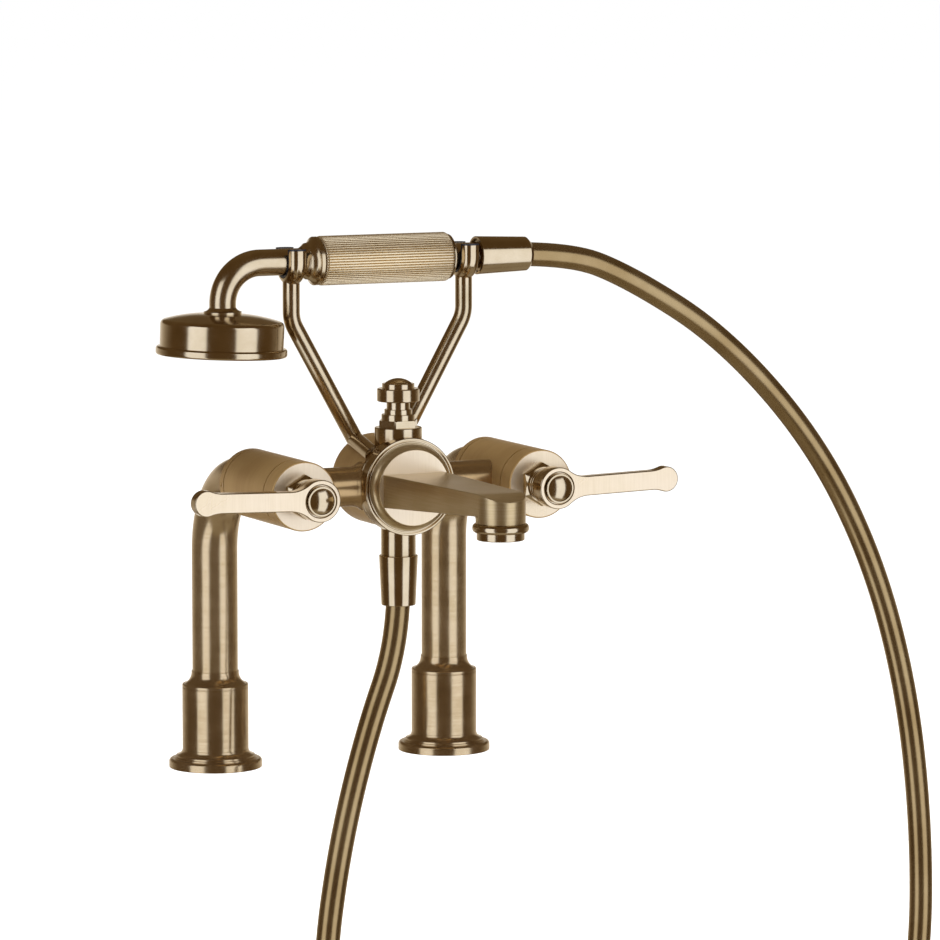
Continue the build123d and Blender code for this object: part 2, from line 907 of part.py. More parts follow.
def make_spout_boss():
    """Raised boss in the ring: a cove up to the flat brushed disc."""
    rim = ring_lip_radius - assembly_gap
    with BuildPart() as boss:
        with BuildSketch(forward(0)):
            with BuildLine():
                cove_start = (ring_front, rim)
                cove_end = (boss_front - boss_face_edge, boss_face_radius)
                bowed(cove_start, cove_end, -boss_cove)
                Polyline(
                    cove_end,
                    (boss_front, boss_face_radius),
                    (boss_front, drum_front_bore_radius),
                    (drum_front, drum_front_bore_radius),
                    (drum_front, rim),
                    cove_start,
                )
            make_face()
        revolve(axis=forward_axis(0))
    return boss.part


def make_spout():
    """Flat spout that narrows to a round outlet, with its waterway."""
    root = boss_front
    nose = spout_reach + spout_tip_radius
    with BuildPart() as spout:
        with BuildSketch(Plane.XY.offset(axis_height - spout_root_bottom)):
            with BuildLine():
                Polyline(
                    (-spout_tip_radius, -spout_reach),
                    (-spout_root_half_width, -root),
                    (spout_root_half_width, -root),
                    (spout_tip_radius, -spout_reach),
                )
                ThreePointArc(
                    (-spout_tip_radius, -spout_reach),
                    (0, -nose),
                    (spout_tip_radius, -spout_reach),
                )
            make_face()
        extrude(amount=spout_root_bottom + spout_tip_top + spout_nose_bulge)
        with BuildSketch(forward(0)):
            with BuildLine():
                root_top = (root, spout_root_top)
                bend = (spout_reach - spout_tip_radius / 4, spout_tip_top)
                nose_top = (nose, spout_nose_top)
                Polyline(root_top, (root, -spout_root_bottom), (nose, -spout_tip_underside), nose_top)
                Line(root_top, bend)
                bowed(nose_top, bend, -spout_nose_bulge)
            make_face()
        extrude(amount=spout_root_half_width, both=True, mode=Mode.INTERSECT)
        with BuildSketch(Plane.XY.offset(axis_height - spout_mouth)):
            with Locations((0, -spout_reach)):
                Circle(spout_tip_radius - spout_lip_inset)
        extrude(amount=spout_mouth)
        rims = spout.edges().filter_by(lambda e: e.center().Z > axis_height + spout_nose_top / 2)
        fillet(rims.filter_by(lambda e: e.center().Y < -root - 1), spout_edge_round)
        with BuildSketch(facing(0, root)):
            with Locations((0, waterway_lift)):
                Rectangle(2 * waterway_half_width, waterway_height)
        extrude(amount=spout_reach - root, mode=Mode.SUBTRACT)
        with BuildSketch(Plane.XY.offset(axis_height - spout_mouth)):
            with Locations((0, -spout_reach)):
                Circle(outlet_bore_radius)
        extrude(amount=outlet_bore_depth, mode=Mode.SUBTRACT)
    return spout.part


def make_aerator_housing():
    """Threaded spigot, round bead and lower ring of the outlet."""
    top = axis_height - spout_mouth
    bead_foot = top - aerator_bead_height
    ring_foot = bead_foot - aerator_ring_height
    with BuildPart() as housing:
        with BuildSketch(upright(0, -spout_reach)) as section:
            with BuildLine():
                spigot = outlet_bore_radius - assembly_gap
                Polyline(
                    (aerator_bore_radius, top + aerator_spigot_length),
                    (spigot, top + aerator_spigot_length),
                    (spigot, top),
                    (aerator_bead_radius, top),
                    (aerator_bead_radius, bead_foot),
                    (aerator_ring_radius, bead_foot),
                    (aerator_ring_radius, ring_foot),
                    (aerator_bore_radius, ring_foot),
                    close=True,
                )
            make_face()
            fillet(vertex_at(section, aerator_bead_radius, top), aerator_bead_round)
            fillet(vertex_at(section, aerator_bead_radius, bead_foot), aerator_bead_round)
            fillet(vertex_at(section, aerator_ring_radius, ring_foot), aerator_ring_round)
        revolve(axis=upright_axis(0, -spout_reach))
    return housing.part


def make_aerator_insert():
    """Perforated insert inside the aerator housing."""
    foot = axis_height - spout_mouth - aerator_bead_height - aerator_ring_height + aerator_insert_recess
    with BuildPart() as insert:
        with BuildSketch(Plane.XY.offset(foot)):
            with Locations((0, -spout_reach)):
                Circle(aerator_bore_radius - assembly_gap)
                Circle(aerator_hole_radius, mode=Mode.SUBTRACT)
                for ring in range(1, aerator_ring_count + 1):
                    with PolarLocations(ring * aerator_hole_pitch, spoke_count * ring):
                        Circle(aerator_hole_radius, mode=Mode.SUBTRACT)
        extrude(amount=aerator_insert_height)
    return insert.part


# Diverter


def make_diverter_base():
    """Round collar shaped to the drum, with the piston's seat below it."""
    with BuildPart() as base:
        with BuildSketch(over_drum(0)):
            Circle(diverter_collar_radius)
        extrude(amount=diverter_collar_top)
        fillet(base.edges().group_by(Axis.Z)[-1], diverter_collar_round)
        with BuildSketch(facing(0, drum_back)):
            Circle(drum_radius + assembly_gap)
        extrude(amount=drum_shoulder - drum_back, mode=Mode.SUBTRACT)
        with BuildSketch(facing(0, drum_shoulder - assembly_gap)):
            Circle(ring_front_bead_radius + assembly_gap)
        extrude(amount=ring_front - drum_shoulder, mode=Mode.SUBTRACT)
        with BuildSketch(over_drum(diverter_spigot_foot)):
            Circle(diverter_spigot_radius)
        extrude(amount=diverter_collar_top - diverter_spigot_foot)
        with BuildSketch(over_drum(diverter_spigot_foot)):
            Circle(diverter_spigot_bore)
        extrude(amount=diverter_seat - diverter_spigot_foot, mode=Mode.SUBTRACT)
        with BuildSketch(over_drum(diverter_seat)):
            Circle(diverter_seat_bore)
        extrude(amount=diverter_collar_top - diverter_seat, mode=Mode.SUBTRACT)
        with BuildSketch(facing(0, drum_shoulder - assembly_gap)):
            Circle(ring_front_bead_radius + assembly_gap)
            Circle(drum_spigot_radius, mode=Mode.SUBTRACT)
        extrude(amount=ring_front - drum_shoulder, mode=Mode.SUBTRACT)
        bonnet_seat = diverter_collar_top - bonnet_spigot_depth - assembly_gap
        with BuildSketch(over_drum(bonnet_seat)):
            Circle(bonnet_spigot_radius + assembly_gap)
        extrude(amount=diverter_collar_top - bonnet_seat, mode=Mode.SUBTRACT)
    return base.part


def make_diverter_bonnet():
    """Hexagon, two turned steps and a neck that guide the diverter's rod."""
    level = diverter_collar_top
    with BuildPart() as bonnet:
        with BuildSketch(over_drum(level - bonnet_spigot_depth)):
            Circle(bonnet_spigot_radius)
        extrude(amount=bonnet_spigot_depth)
        with BuildSketch(over_drum(level)):
            RegularPolygon(diverter_flats / 2, 6, major_radius=False)
        extrude(amount=diverter_hex_height)
        chamfer(bonnet.edges().group_by(Axis.Z)[-1], bonnet_hex_chamfer)
        step_level = level + diverter_hex_height
        for radius, height in (
            (bonnet_step_radius, bonnet_step_height),
            (bonnet_shoulder_radius, bonnet_shoulder_height),
            (bonnet_neck_radius, bonnet_neck_height),
        ):
            with BuildSketch(over_drum(step_level)):
                Circle(radius)
            extrude(amount=height)
            chamfer(bonnet.edges().group_by(Axis.Z)[-1], bonnet_step_chamfer)
            step_level += height
        with BuildSketch(over_drum(level - bonnet_spigot_depth)):
            Circle(rod_radius + running_fit)
        extrude(amount=step_level - level + bonnet_spigot_depth, mode=Mode.SUBTRACT)
    return bonnet.part


def knob_foot():
    steps = bonnet_step_height + bonnet_shoulder_height + bonnet_neck_height
    return axis_height + diverter_collar_top + diverter_hex_height + steps + free_gap


def make_diverter_spindle():
    """Spindle that joins the knob to the piston."""
    with BuildPart() as rod:
        with BuildSketch(over_drum(rod_foot)):
            Circle(rod_radius)
        extrude(amount=rod_top - rod_foot)
        chamfer(rod.edges().group_by(Axis.Z)[0], rod_chamfer)
    return rod.part


def make_diverter_piston():
    """Piston on the spindle, lifted against the seat when the knob is pulled up."""
    with BuildPart() as piston:
        with BuildSketch(upright(0, -body_line)) as section:
            inner = rod_radius + running_fit
            middle = axis_height + piston_lift + piston_thickness / 2
            with Locations(((inner + piston_radius) / 2, middle)):
                Rectangle(piston_radius - inner, piston_thickness)
            with Locations((piston_radius, middle)):
                Rectangle(2 * piston_groove_depth, piston_groove_width, mode=Mode.SUBTRACT)
        revolve(axis=upright_axis(0, -body_line))
    return piston.part


def make_diverter_knob():
    """Pull-up knob: a plain skirt, a step and a shallow dome."""
    foot = knob_foot()
    skirt_top = foot + knob_skirt_height
    step_top = skirt_top + knob_step_height
    dome_top = step_top + knob_dome_height
    bore = rod_radius + running_fit
    bore_top = axis_height + rod_top + assembly_gap
    with BuildPart() as knob:
        with BuildSketch(upright(0, -body_line)) as section:
            with BuildLine():
                dome_edge = (knob_dome_radius, step_top)
                crown = (0, dome_top)
                Polyline(
                    crown,
                    (0, bore_top),
                    (bore, bore_top),
                    (bore, foot),
                    (knob_radius, foot),
                    (knob_radius, skirt_top),
                    (knob_step_radius, skirt_top),
                    (knob_step_radius, step_top),
                    dome_edge,
                )
                arc_radius = (knob_dome_radius**2 + knob_dome_height**2) / (2 * knob_dome_height)
                half = knob_dome_radius / 2
                ThreePointArc(
                    dome_edge,
                    (half, dome_top - arc_radius + sqrt(arc_radius**2 - half**2)),
                    crown,
                )
            make_face()
            fillet(vertex_at(section, knob_radius, foot), knob_edge_round)
            fillet(vertex_at(section, knob_radius, skirt_top), knob_edge_round)
            fillet(vertex_at(section, knob_step_radius, step_top), knob_edge_round / 2)
        revolve(axis=upright_axis(0, -body_line))
    return knob.part


# Outlet for the hose


def make_hose_outlet():
    """Spigot below the drum, threaded for the hose nut."""
    top = axis_height - outlet_top
    shoulder = axis_height - outlet_shoulder
    foot = shoulder - outlet_thread_length
    with BuildPart() as outlet:
        with BuildSketch(upright(0, -body_line)):
            with BuildLine():
                Polyline(
                    (outlet_bore, top),
                    (outlet_radius, top),
                    (outlet_radius, shoulder),
                    (outlet_thread_radius, shoulder),
                    (outlet_thread_radius, foot),
                    (outlet_bore, foot),
                    close=True,
                )
            make_face()
        revolve(axis=upright_axis(0, -body_line))
        chamfer(outlet.edges().group_by(Axis.Z)[0].sort_by(SortBy.RADIUS)[-1], outlet_thread_chamfer)
        with BuildSketch(facing(0, drum_shoulder - assembly_gap)):
            Circle(ring_front_bead_radius + assembly_gap)
            Circle(drum_spigot_radius, mode=Mode.SUBTRACT)
        extrude(amount=ring_front - drum_shoulder, mode=Mode.SUBTRACT)
    return outlet.part


def outlet_foot():
    return axis_height - outlet_shoulder - outlet_thread_length


def make_lower_washer():
    """Flat washer between the outlet and the end of the hose."""
    with BuildPart() as washer:
        with BuildSketch(over_drum(outlet_foot() - hose_washer_thickness - axis_height)):
            Circle(outlet_thread_radius)
            Circle(hose_bore_radius, mode=Mode.SUBTRACT)
        extrude(amount=hose_washer_thickness)
    return washer.part


def make_lower_nut():
    """Tapered nut on the outlet, closed to the hose at its lower end."""
    top = axis_height - outlet_shoulder - free_gap
    foot = top - nut_length
    shelf = foot + nut_tail_length
    bore = outlet_thread_radius + assembly_gap
    with BuildPart() as nut:
        with BuildSketch(upright(0, -body_line)) as section:
            with BuildLine():
                Polyline(
                    (bore, top),
                    (nut_mouth_radius, top),
                    (nut_tail_radius, foot),
                    (hose_radius + free_gap, foot),
                    (hose_radius + free_gap, shelf),
                    (bore, shelf),
                    close=True,
                )
            make_face()
            fillet(vertex_at(section, nut_mouth_radius, top), nut_mouth_chamfer)
            fillet(vertex_at(section, nut_tail_radius, foot), nut_mouth_chamfer)
        revolve(axis=upright_axis(0, -body_line))
    return nut.part


# Hose


def hose_route():
    """Corner points of the hose: out of the handset, down, a free loop and up to the outlet."""
    lower_end = outlet_foot() - hose_washer_thickness
    return [
        (tail_thread_end, -cradle_line, handset_height),
        (tail_thread_end + hose_first_run, -cradle_line, handset_height),
        (165.0, -71.0, 289.8),
        (227.7, -71.4, 251.6),
        (289.3, -72.4, 186.9),
        (329.8, -74.0, 113.0),
        (353.8, -76.0, 31.2),
        (364.1, -78.4, -57.3),
        (362.8, -81.0, -144.3),
        (341.3, -83.8, -225.8),
        (294.0, -86.7, -296.1),
        (223.3, -89.5, -342.7),
        (139.5, -92.1, -355.1),
        (58.6, -94.5, -329.9),
        (-4.1, -96.5, -273.1),
        (-40.0, -98.1, -196.4),
        (-48.8, -99.1, -112.2),
        (-38.5, -body_line, -37.5),
        (-20.5, -body_line, 30.8),
        (0.0, -body_line, lower_end - hose_last_run),
        (0.0, -body_line, lower_end),
    ]


def corner_radii(points):
    """Largest tangent arc that each corner's two runs allow."""
    radii = []
    for before, corner, after in zip(points, points[1:], points[2:]):
        first = Vector(*corner) - Vector(*before)
        second = Vector(*after) - Vector(*corner)
        half_turn = radians(first.get_angle(second) / 2)
        radii.append(corner_share * min(first.length, second.length) / tan(half_turn))
    return radii


def make_hose():
    """Smooth hose, hanging in one free loop between the outlet and the handset."""
    points = hose_route()
    radii = corner_radii(points)
    with BuildPart() as hose:
        with BuildLine() as path:
            FilletPolyline(*points, radius=radii)
        route = path.wires()[0]
        with BuildSketch(Plane(origin=points[0], z_dir=(1, 0, 0))):
            Circle(hose_radius)
            Circle(hose_bore_radius, mode=Mode.SUBTRACT)
        sweep(path=route)
    wall_area = pi * (hose_radius**2 - hose_bore_radius**2)
    print("hose corner radii:", [round(radius) for radius in radii])
    print(f"hose length {route.length:.1f} of {hose_length:.0f}")
    print(f"hose volume {hose.part.volume:.1f}, section x length {wall_area * route.length:.1f}")
    return hose.part


# Cradle


def fork_slot_radius():
    return neck_radius + free_gap + liner_wall + running_fit


def make_cradle_arm(side):
    """Round rod: an upright, a slanting part and a mitred foot along the drum."""
    top = handset_height - fork_slot_radius() - fork_wall - fork_boss_length
    with BuildPart() as arm:
        with BuildLine() as path:
            upper = FilletPolyline(
                (side * arm_spread, -cradle_line, top),
                (side * arm_spread, -cradle_line, handset_height - arm_elbow_drop),
                (side * arm_knee_spread, -cradle_line, axis_height + arm_knee_rise),
                radius=arm_elbow_radius,
            )
            Line(
                (side * arm_knee_spread, -cradle_line, axis_height + arm_knee_rise),
                (side * arm_foot_spread, -arm_foot_line, axis_height + arm_foot_rise),
            )
        with BuildSketch(Plane(origin=(side * arm_spread, -cradle_line, top), z_dir=(0, 0, -1))):
            Circle(arm_radius)
        sweep(path=path.wires()[0], transition=Transition.RIGHT)
        with BuildSketch(facing(0, drum_back)):
            Circle(drum_radius + assembly_gap)
        extrude(amount=drum_front - drum_back, mode=Mode.SUBTRACT)
        with BuildSketch(facing(0, drum_shoulder - assembly_gap)):
            Circle(2 * drum_radius)
        extrude(amount=drum_front - drum_shoulder, mode=Mode.SUBTRACT)
    return arm.part.solids().sort_by(SortBy.VOLUME)[-1]


def fork_plane(side):
    """Plane across a fork: local X points forward, local Y upwards."""
    return Plane(
        origin=(side * arm_spread, -cradle_line, handset_height),
        x_dir=(0, -1, 0),
        z_dir=(-1, 0, 0),
    )


def make_cradle_fork(side):
    """Open fork that carries the handset, with rounded backs and a boss for the arm."""
    slot = fork_slot_radius()
    outer = slot + fork_wall
    with BuildPart() as fork:
        with BuildSketch(fork_plane(side)):
            Circle(outer)
            with Locations((0, fork_stand / 2)):
                Rectangle(2 * outer, fork_stand)
            with Locations((0, fork_stand + outer)):
                Rectangle(2 * outer, 2 * outer, mode=Mode.SUBTRACT)
        extrude(amount=fork_width / 2, both=True)
        flat_sides = fork.faces().sort_by(Axis.X)
        rims = flat_sides[0].edges() + flat_sides[-1].edges()
        fillet(rims.filter_by(lambda e: e.center().Z < handset_height + fork_stand - 0.01), fork_round)
        with BuildSketch(fork_plane(side)):
            Circle(slot)
            with Locations((0, outer)):
                Rectangle(2 * slot, 2 * outer)
        extrude(amount=fork_width, both=True, mode=Mode.SUBTRACT)
        boss_foot = handset_height - outer - fork_boss_length
        with BuildSketch(Plane(origin=(side * arm_spread, -cradle_line, boss_foot), z_dir=(0, 0, 1))):
            Circle(arm_radius)
        extrude(amount=fork_boss_length + fork_wall / 2)
    return fork.part


def make_fork_liners():
    """Thin liners in the forks, turned over the tops of the prongs."""
    slot = neck_radius + free_gap
    outer = slot + liner_wall
    lip_reach = outer + fork_wall - liner_inset
    top = fork_stand + liner_lip
    with BuildPart() as liners:
        for side in (-1, 1):
            with BuildSketch(fork_plane(side)):
                Circle(outer)
                with Locations((0, top / 2)):
                    Rectangle(2 * outer, top)
                with Locations((0, fork_stand + liner_lip / 2)):
                    Rectangle(2 * lip_reach, liner_lip)
                Circle(slot, mode=Mode.SUBTRACT)
                with Locations((0, top)):
                    Rectangle(2 * slot, 2 * top, mode=Mode.SUBTRACT)
            extrude(amount=fork_width / 2, both=True)
        corners = liners.edges().filter_by(Axis.Z)
        lips = corners.filter_by(lambda e: abs(abs(e.center().Y + cradle_line) - lip_reach) < 0.01)
        fillet(lips, fork_round)
    return liners.part


# Hand shower


def make_handset_neck():
    """Tube that leaves the grip, bends down and carries the rose."""
    inside_grip = grip_start + neck_insert
    foot = handset_height - neck_bend - neck_collar_drop - neck_collar_height
    low = foot - neck_collar_height
    with BuildPart() as neck:
        with BuildLine(lengthwise()) as path:
            FilletPolyline(
                (inside_grip, 0),
                (-rose_offset, 0),
                (-rose_offset, low - handset_height),
                radius=neck_bend,
            )
        with BuildSketch(Plane(origin=(inside_grip, -cradle_line, handset_height), z_dir=(-1, 0, 0))):
            Circle(neck_radius)
            Circle(neck_radius - neck_wall, mode=Mode.SUBTRACT)
        sweep(path=path.wires()[0])
        with BuildSketch(upright(-rose_offset, -cradle_line)):
            with BuildLine():
                collar_top = (neck_radius, foot + neck_collar_height)
                rim = (neck_collar_radius, foot + neck_collar_height / 3)
                bowed(collar_top, rim, -neck_collar_bulge)
                Polyline(
                    rim,
                    (neck_collar_radius, low),
                    (neck_radius - neck_wall, low),
                    (neck_radius - neck_wall, foot + neck_collar_height),
                    collar_top,
                )
            make_face()
        revolve(axis=upright_axis(-rose_offset, -cradle_line))
        with BuildSketch(rose_plane().offset(rose_dome_height + assembly_gap)):
            Circle(rose_radius)
        extrude(amount=-rose_dome_height, mode=Mode.SUBTRACT)
    return neck.part


def make_left_ferrule():
    """Bell-shaped ferrule between the neck and the grip."""
    groove_start = grip_start - ferrule_groove_width
    inner = neck_radius + assembly_gap
    with BuildPart() as ferrule:
        with BuildSketch(lengthwise()):
            with BuildLine():
                nose = (ferrule_start, ferrule_nose)
                waist = (ferrule_start + ferrule_waist_length, ferrule_waist)
                belly = (waist[0] + ferrule_belly_length, ferrule_belly_radius)
                bowed(nose, waist, -ferrule_nose_bulge)
                bowed(waist, belly, ferrule_belly_bulge)
                Polyline(
                    belly,
                    (groove_start, ferrule_belly_radius),
                    (groove_start, ferrule_groove_radius),
                    (grip_start, ferrule_groove_radius),
                    (grip_start, inner),
                    (ferrule_start, inner),
                    nose,
                )
            make_face()
        revolve(axis=handset_axis)
    return ferrule.part


def make_handset_grip():
    """Round grip with fine flutes along it and plain chamfered ends."""
    length = grip_end - grip_start
    with BuildPart() as grip:
        with BuildSketch(lengthwise()) as section:
            with Locations(((grip_start + grip_end) / 2, (grip_radius + (neck_radius + assembly_gap)) / 2)):
                Rectangle(length, grip_radius - (neck_radius + assembly_gap))
            chamfer(vertex_at(section, grip_start, grip_radius), grip_chamfer, grip_chamfer / 2)
            chamfer(vertex_at(section, grip_end, grip_radius), grip_chamfer, grip_chamfer)
        revolve(axis=handset_axis)
        flute_plane = Plane(
            origin=(grip_start + flute_start_gap, -cradle_line, handset_height),
            z_dir=(1, 0, 0),
        )
        with BuildSketch(flute_plane):
            with PolarLocations(grip_radius, flute_count):
                Rectangle(2 * flute_depth, 2 * flute_depth, rotation=45)
        extrude(amount=length, mode=Mode.SUBTRACT)
    return grip.part


def make_handset_tail():
    """Ferrule, shank and threaded end at the hose side of the grip."""
    with BuildPart() as tail:
        with BuildSketch(lengthwise()):
            with BuildLine():
                shoulder = (grip_end + tail_shoulder_length, tail_shoulder_radius)
                shank = (grip_end + tail_shoulder_length + tail_taper_length, neck_radius)
                bowed(shoulder, shank, -tail_cove_bulge)
                Polyline(
                    shank,
                    (tail_thread_start, neck_radius),
                    (tail_thread_start, tail_thread_radius),
                    (tail_thread_end, tail_thread_radius),
                    (tail_thread_end, tail_bore_radius),
                    (grip_end - tail_insert, tail_bore_radius),
                    (grip_end - tail_insert, neck_radius),
                    (grip_end, neck_radius),
                    (grip_end, tail_shoulder_radius),
                    shoulder,
                )
            make_face()
        revolve(axis=handset_axis)
    return tail.part


def make_handset_nut():
    """Tapered sleeve nut that joins the hose to the handset."""
    shelf = sleeve_end - sleeve_tail_length
    bore = hose_radius + free_gap
    bore_radius = tail_thread_radius + assembly_gap
    with BuildPart() as nut:
        with BuildSketch(lengthwise()) as section:
            with BuildLine():
                Polyline(
                    (sleeve_start, bore_radius),
                    (sleeve_start, sleeve_mouth_radius),
                    (sleeve_end, sleeve_tail_radius),
                    (sleeve_end, bore),
                    (shelf, bore),
                    (shelf, bore_radius),
                    close=True,
                )
            make_face()
            tail_rim = vertex_at(section, sleeve_end, sleeve_tail_radius)
            chamfer(tail_rim, sleeve_end_chamfer, sleeve_end_slope * sleeve_end_chamfer)
            fillet(vertex_at(section, sleeve_start, sleeve_mouth_radius), sleeve_mouth_round)
        revolve(axis=handset_axis)
    return nut.part


# Rose


def rose_plane():
    """Plane of the rose's face, its Z pointing up the leaning axis."""
    lean = radians(rose_tilt)
    crown = Vector(-rose_offset, -cradle_line, rose_crown_height())
    up = Vector(sin(lean), 0, cos(lean))
    face = crown - up * rose_dome_height
    return Plane(origin=face, x_dir=(cos(lean), 0, -sin(lean)), z_dir=up)


def rose_crown_height():
    return handset_height - neck_bend - neck_collar_drop - neck_collar_height - assembly_gap


def rose_section():
    face = rose_plane()
    return Plane(origin=face.origin, x_dir=face.x_dir, z_dir=-face.y_dir)


def rose_axis():
    face = rose_plane()
    return Axis(face.origin, face.z_dir)


def make_rose_body():
    """Shallow dome with a beaded rim, hollow behind the face."""
    with BuildPart() as body:
        with BuildSketch(rose_section()) as section:
            with BuildLine():
                crown_edge = (rose_crown_flat, rose_dome_height)
                shoulder = (rose_radius, rose_side_height)
                inner = plate_radius + assembly_gap
                bowed(shoulder, crown_edge, -rose_dome_bulge)
                Polyline(
                    crown_edge,
                    (neck_radius - neck_wall, rose_dome_height),
                    (neck_radius - neck_wall, rose_side_height - rose_wall),
                    (inner - rose_shelf, rose_side_height - rose_wall - rose_cavity_slope),
                    (inner - rose_shelf, plate_recess + plate_thickness),
                    (inner, plate_recess + plate_thickness),
                    (inner, 0),
                    (rose_rim_radius, 0),
                    (rose_rim_radius, rose_rim_height),
                    (rose_radius, rose_rim_height),
                    shoulder,
                )
            make_face()
            fillet(vertex_at(section, rose_radius, rose_side_height), rose_shoulder_round)
            fillet(vertex_at(section, rose_rim_radius, 0), rose_rim_round)
            fillet(vertex_at(section, rose_rim_radius, rose_rim_height), rose_rim_round)
        revolve(axis=rose_axis())
    return body.part


def make_rose_plate():
    """Round face plate with a hole for each nozzle."""
    with BuildPart() as plate:
        with BuildSketch(rose_plane().offset(plate_recess)):
            Circle(plate_radius)
            for ring in range(1, nozzle_ring_count + 1):
                with PolarLocations(ring * nozzle_ring_pitch, spoke_count * ring):
                    Circle(nozzle_radius + nozzle_hole_gap, mode=Mode.SUBTRACT)
        extrude(amount=plate_thickness)
    return plate.part


def make_nozzle_mat():
    """Soft mat behind the plate with a nozzle through each hole."""
    back = plate_recess + plate_thickness
    with BuildPart() as mat:
        with BuildSketch(rose_plane().offset(back)):
            Circle(plate_radius - mat_inset)
        extrude(amount=mat_thickness)
        with BuildSketch(rose_plane().offset(back - nozzle_length)):
            for ring in range(1, nozzle_ring_count + 1):
                with PolarLocations(ring * nozzle_ring_pitch, spoke_count * ring):
                    Circle(nozzle_radius)
        extrude(amount=nozzle_length)
    return mat.part


os.makedirs("parts", exist_ok=True)

for side_name, side in (("left", -1), ("right", 1)):
    leg_x = side * leg_pitch / 2
    save(make_deck_flange(leg_x), f"{side_name}_deck_flange")
    save(make_shroud_collar(leg_x), f"{side_name}_shroud_collar")
    save(make_leg_socket(leg_x), f"{side_name}_leg_socket")
    save(make_leg_tube(leg_x), f"{side_name}_leg_tube")
    save(make_inlet_union(leg_x), f"{side_name}_inlet_union")
    save(make_union_ring(leg_x), f"{side_name}_union_ring")
    save(make_valve_body(leg_x), f"{side_name}_valve_body")
    save(make_face_ring(leg_x), f"{side_name}_valve_face_ring")
    save(make_cartridge(leg_x), f"{side_name}_cartridge")
    save(make_moving_disc(leg_x), f"{side_name}_moving_disc")
    save(make_gland_nut(leg_x), f"{side_name}_gland_nut")
    save(make_spindle(leg_x), f"{side_name}_spindle")
    save(make_lever(leg_x), f"{side_name}_lever")
    save(make_lever_cap(leg_x), f"{side_name}_lever_cap")
    save(make_cross_pipe(leg_x), f"{side_name}_cross_pipe")
    save(make_cradle_arm(side), f"{side_name}_cradle_arm")
    save(make_cradle_fork(side), f"{side_name}_cradle_fork")

save(make_inlet_washers(), "inlet_washers")
save(make_fixed_discs(), "fixed_discs")
save(make_mixing_drum(), "mixing_drum")
save(make_front_ring(), "drum_front_ring")
save(make_spout_boss(), "spout_boss")
save(make_spout(), "spout")
save(make_aerator_housing(), "aerator_housing")
save(make_aerator_insert(), "aerator_insert")
save(make_diverter_base(), "diverter_base")
save(make_diverter_bonnet(), "diverter_bonnet")
save(make_diverter_spindle(), "diverter_spindle")
save(make_diverter_piston(), "diverter_piston")
save(make_diverter_knob(), "diverter_knob")
save(make_hose_outlet(), "hose_outlet")
save(make_lower_washer(), "lower_hose_washer")
save(make_lower_nut(), "lower_hose_nut")
save(make_hose(), "shower_hose")
save(make_fork_liners(), "fork_liners")
save(make_handset_neck(), "handset_neck")
save(make_left_ferrule(), "left_grip_ferrule")
save(make_handset_grip(), "handset_grip")
save(make_handset_tail(), "handset_tail")
save(make_handset_nut(), "handset_hose_nut")
save(make_rose_body(), "rose_body")
save(make_rose_plate(), "rose_plate")
save(make_nozzle_mat(), "rose_nozzle_mat")
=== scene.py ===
"""Deck-mounted bath mixer with levers, spout, diverter, cradle, hand shower and hose.

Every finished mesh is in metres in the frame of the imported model. Sizes are in millimetres.
"""

import logging
from collections.abc import Sequence
from dataclasses import dataclass
from enum import Enum
from math import acos, atan2, ceil, cos, degrees, hypot, pi, radians, sin, sqrt, tan
from typing import Any

import bmesh
import bpy
from mathutils import Matrix, Vector


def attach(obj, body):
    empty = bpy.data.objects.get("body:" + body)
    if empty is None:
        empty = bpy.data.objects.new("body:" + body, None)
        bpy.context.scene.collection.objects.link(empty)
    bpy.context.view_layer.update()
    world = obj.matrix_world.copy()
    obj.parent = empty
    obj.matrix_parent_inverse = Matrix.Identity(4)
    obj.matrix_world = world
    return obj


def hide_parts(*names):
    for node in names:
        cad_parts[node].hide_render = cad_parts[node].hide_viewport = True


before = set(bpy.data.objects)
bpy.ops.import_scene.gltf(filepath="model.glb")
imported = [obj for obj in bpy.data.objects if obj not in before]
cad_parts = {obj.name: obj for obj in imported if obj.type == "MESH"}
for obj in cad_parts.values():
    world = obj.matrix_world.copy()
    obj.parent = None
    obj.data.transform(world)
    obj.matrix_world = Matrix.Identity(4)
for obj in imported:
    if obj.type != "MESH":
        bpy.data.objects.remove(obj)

MM = 0.001
AHEAD = (0, -1, 0)
FIT_GAP = 0.1
SEAM_STEP = 0.001  # sets a corner just off the end of the curve beside it
RUNNING_GAP = 0.35
log = logging.getLogger("bath_mixer")
Outline = list[tuple[float, float]]
Corner = tuple[float, ...]
Rows = Sequence[Sequence[bmesh.types.BMVert]]


# Layout


@dataclass(frozen=True)
class Layout:
    """Main distances of the mixer in millimetres."""

    leg_pitch: float = 150.0
    axis_height: float = 176.5
    body_line: float = 99.5
    cradle_line: float = 71.0
    handset_stand: float = 129.5

    @property
    def handset_height(self) -> float:
        """Height of the hand shower's axis."""
        return self.axis_height + self.handset_stand


LAYOUT = Layout()


class Side(Enum):
    """Left or right half of the mixer, seen from the front."""

    LEFT = -1
    RIGHT = 1

    @property
    def word(self) -> str:
        """Name of the side as the nodes spell it."""
        return self.name.lower()

    @property
    def leg_x(self) -> float:
        """Place of this side's leg across the mixer."""
        return self.value * LAYOUT.leg_pitch / 2


class Grain(Enum):
    """Direction across which the brushing lines of a finish follow each other."""

    ACROSS_X = (1.0, 0.03, 0.03)
    ACROSS_Y = (0.03, 1.0, 0.03)
    ACROSS_Z = (0.03, 0.03, 1.0)
    NONE = (1.0, 1.0, 1.0)


# Node trees


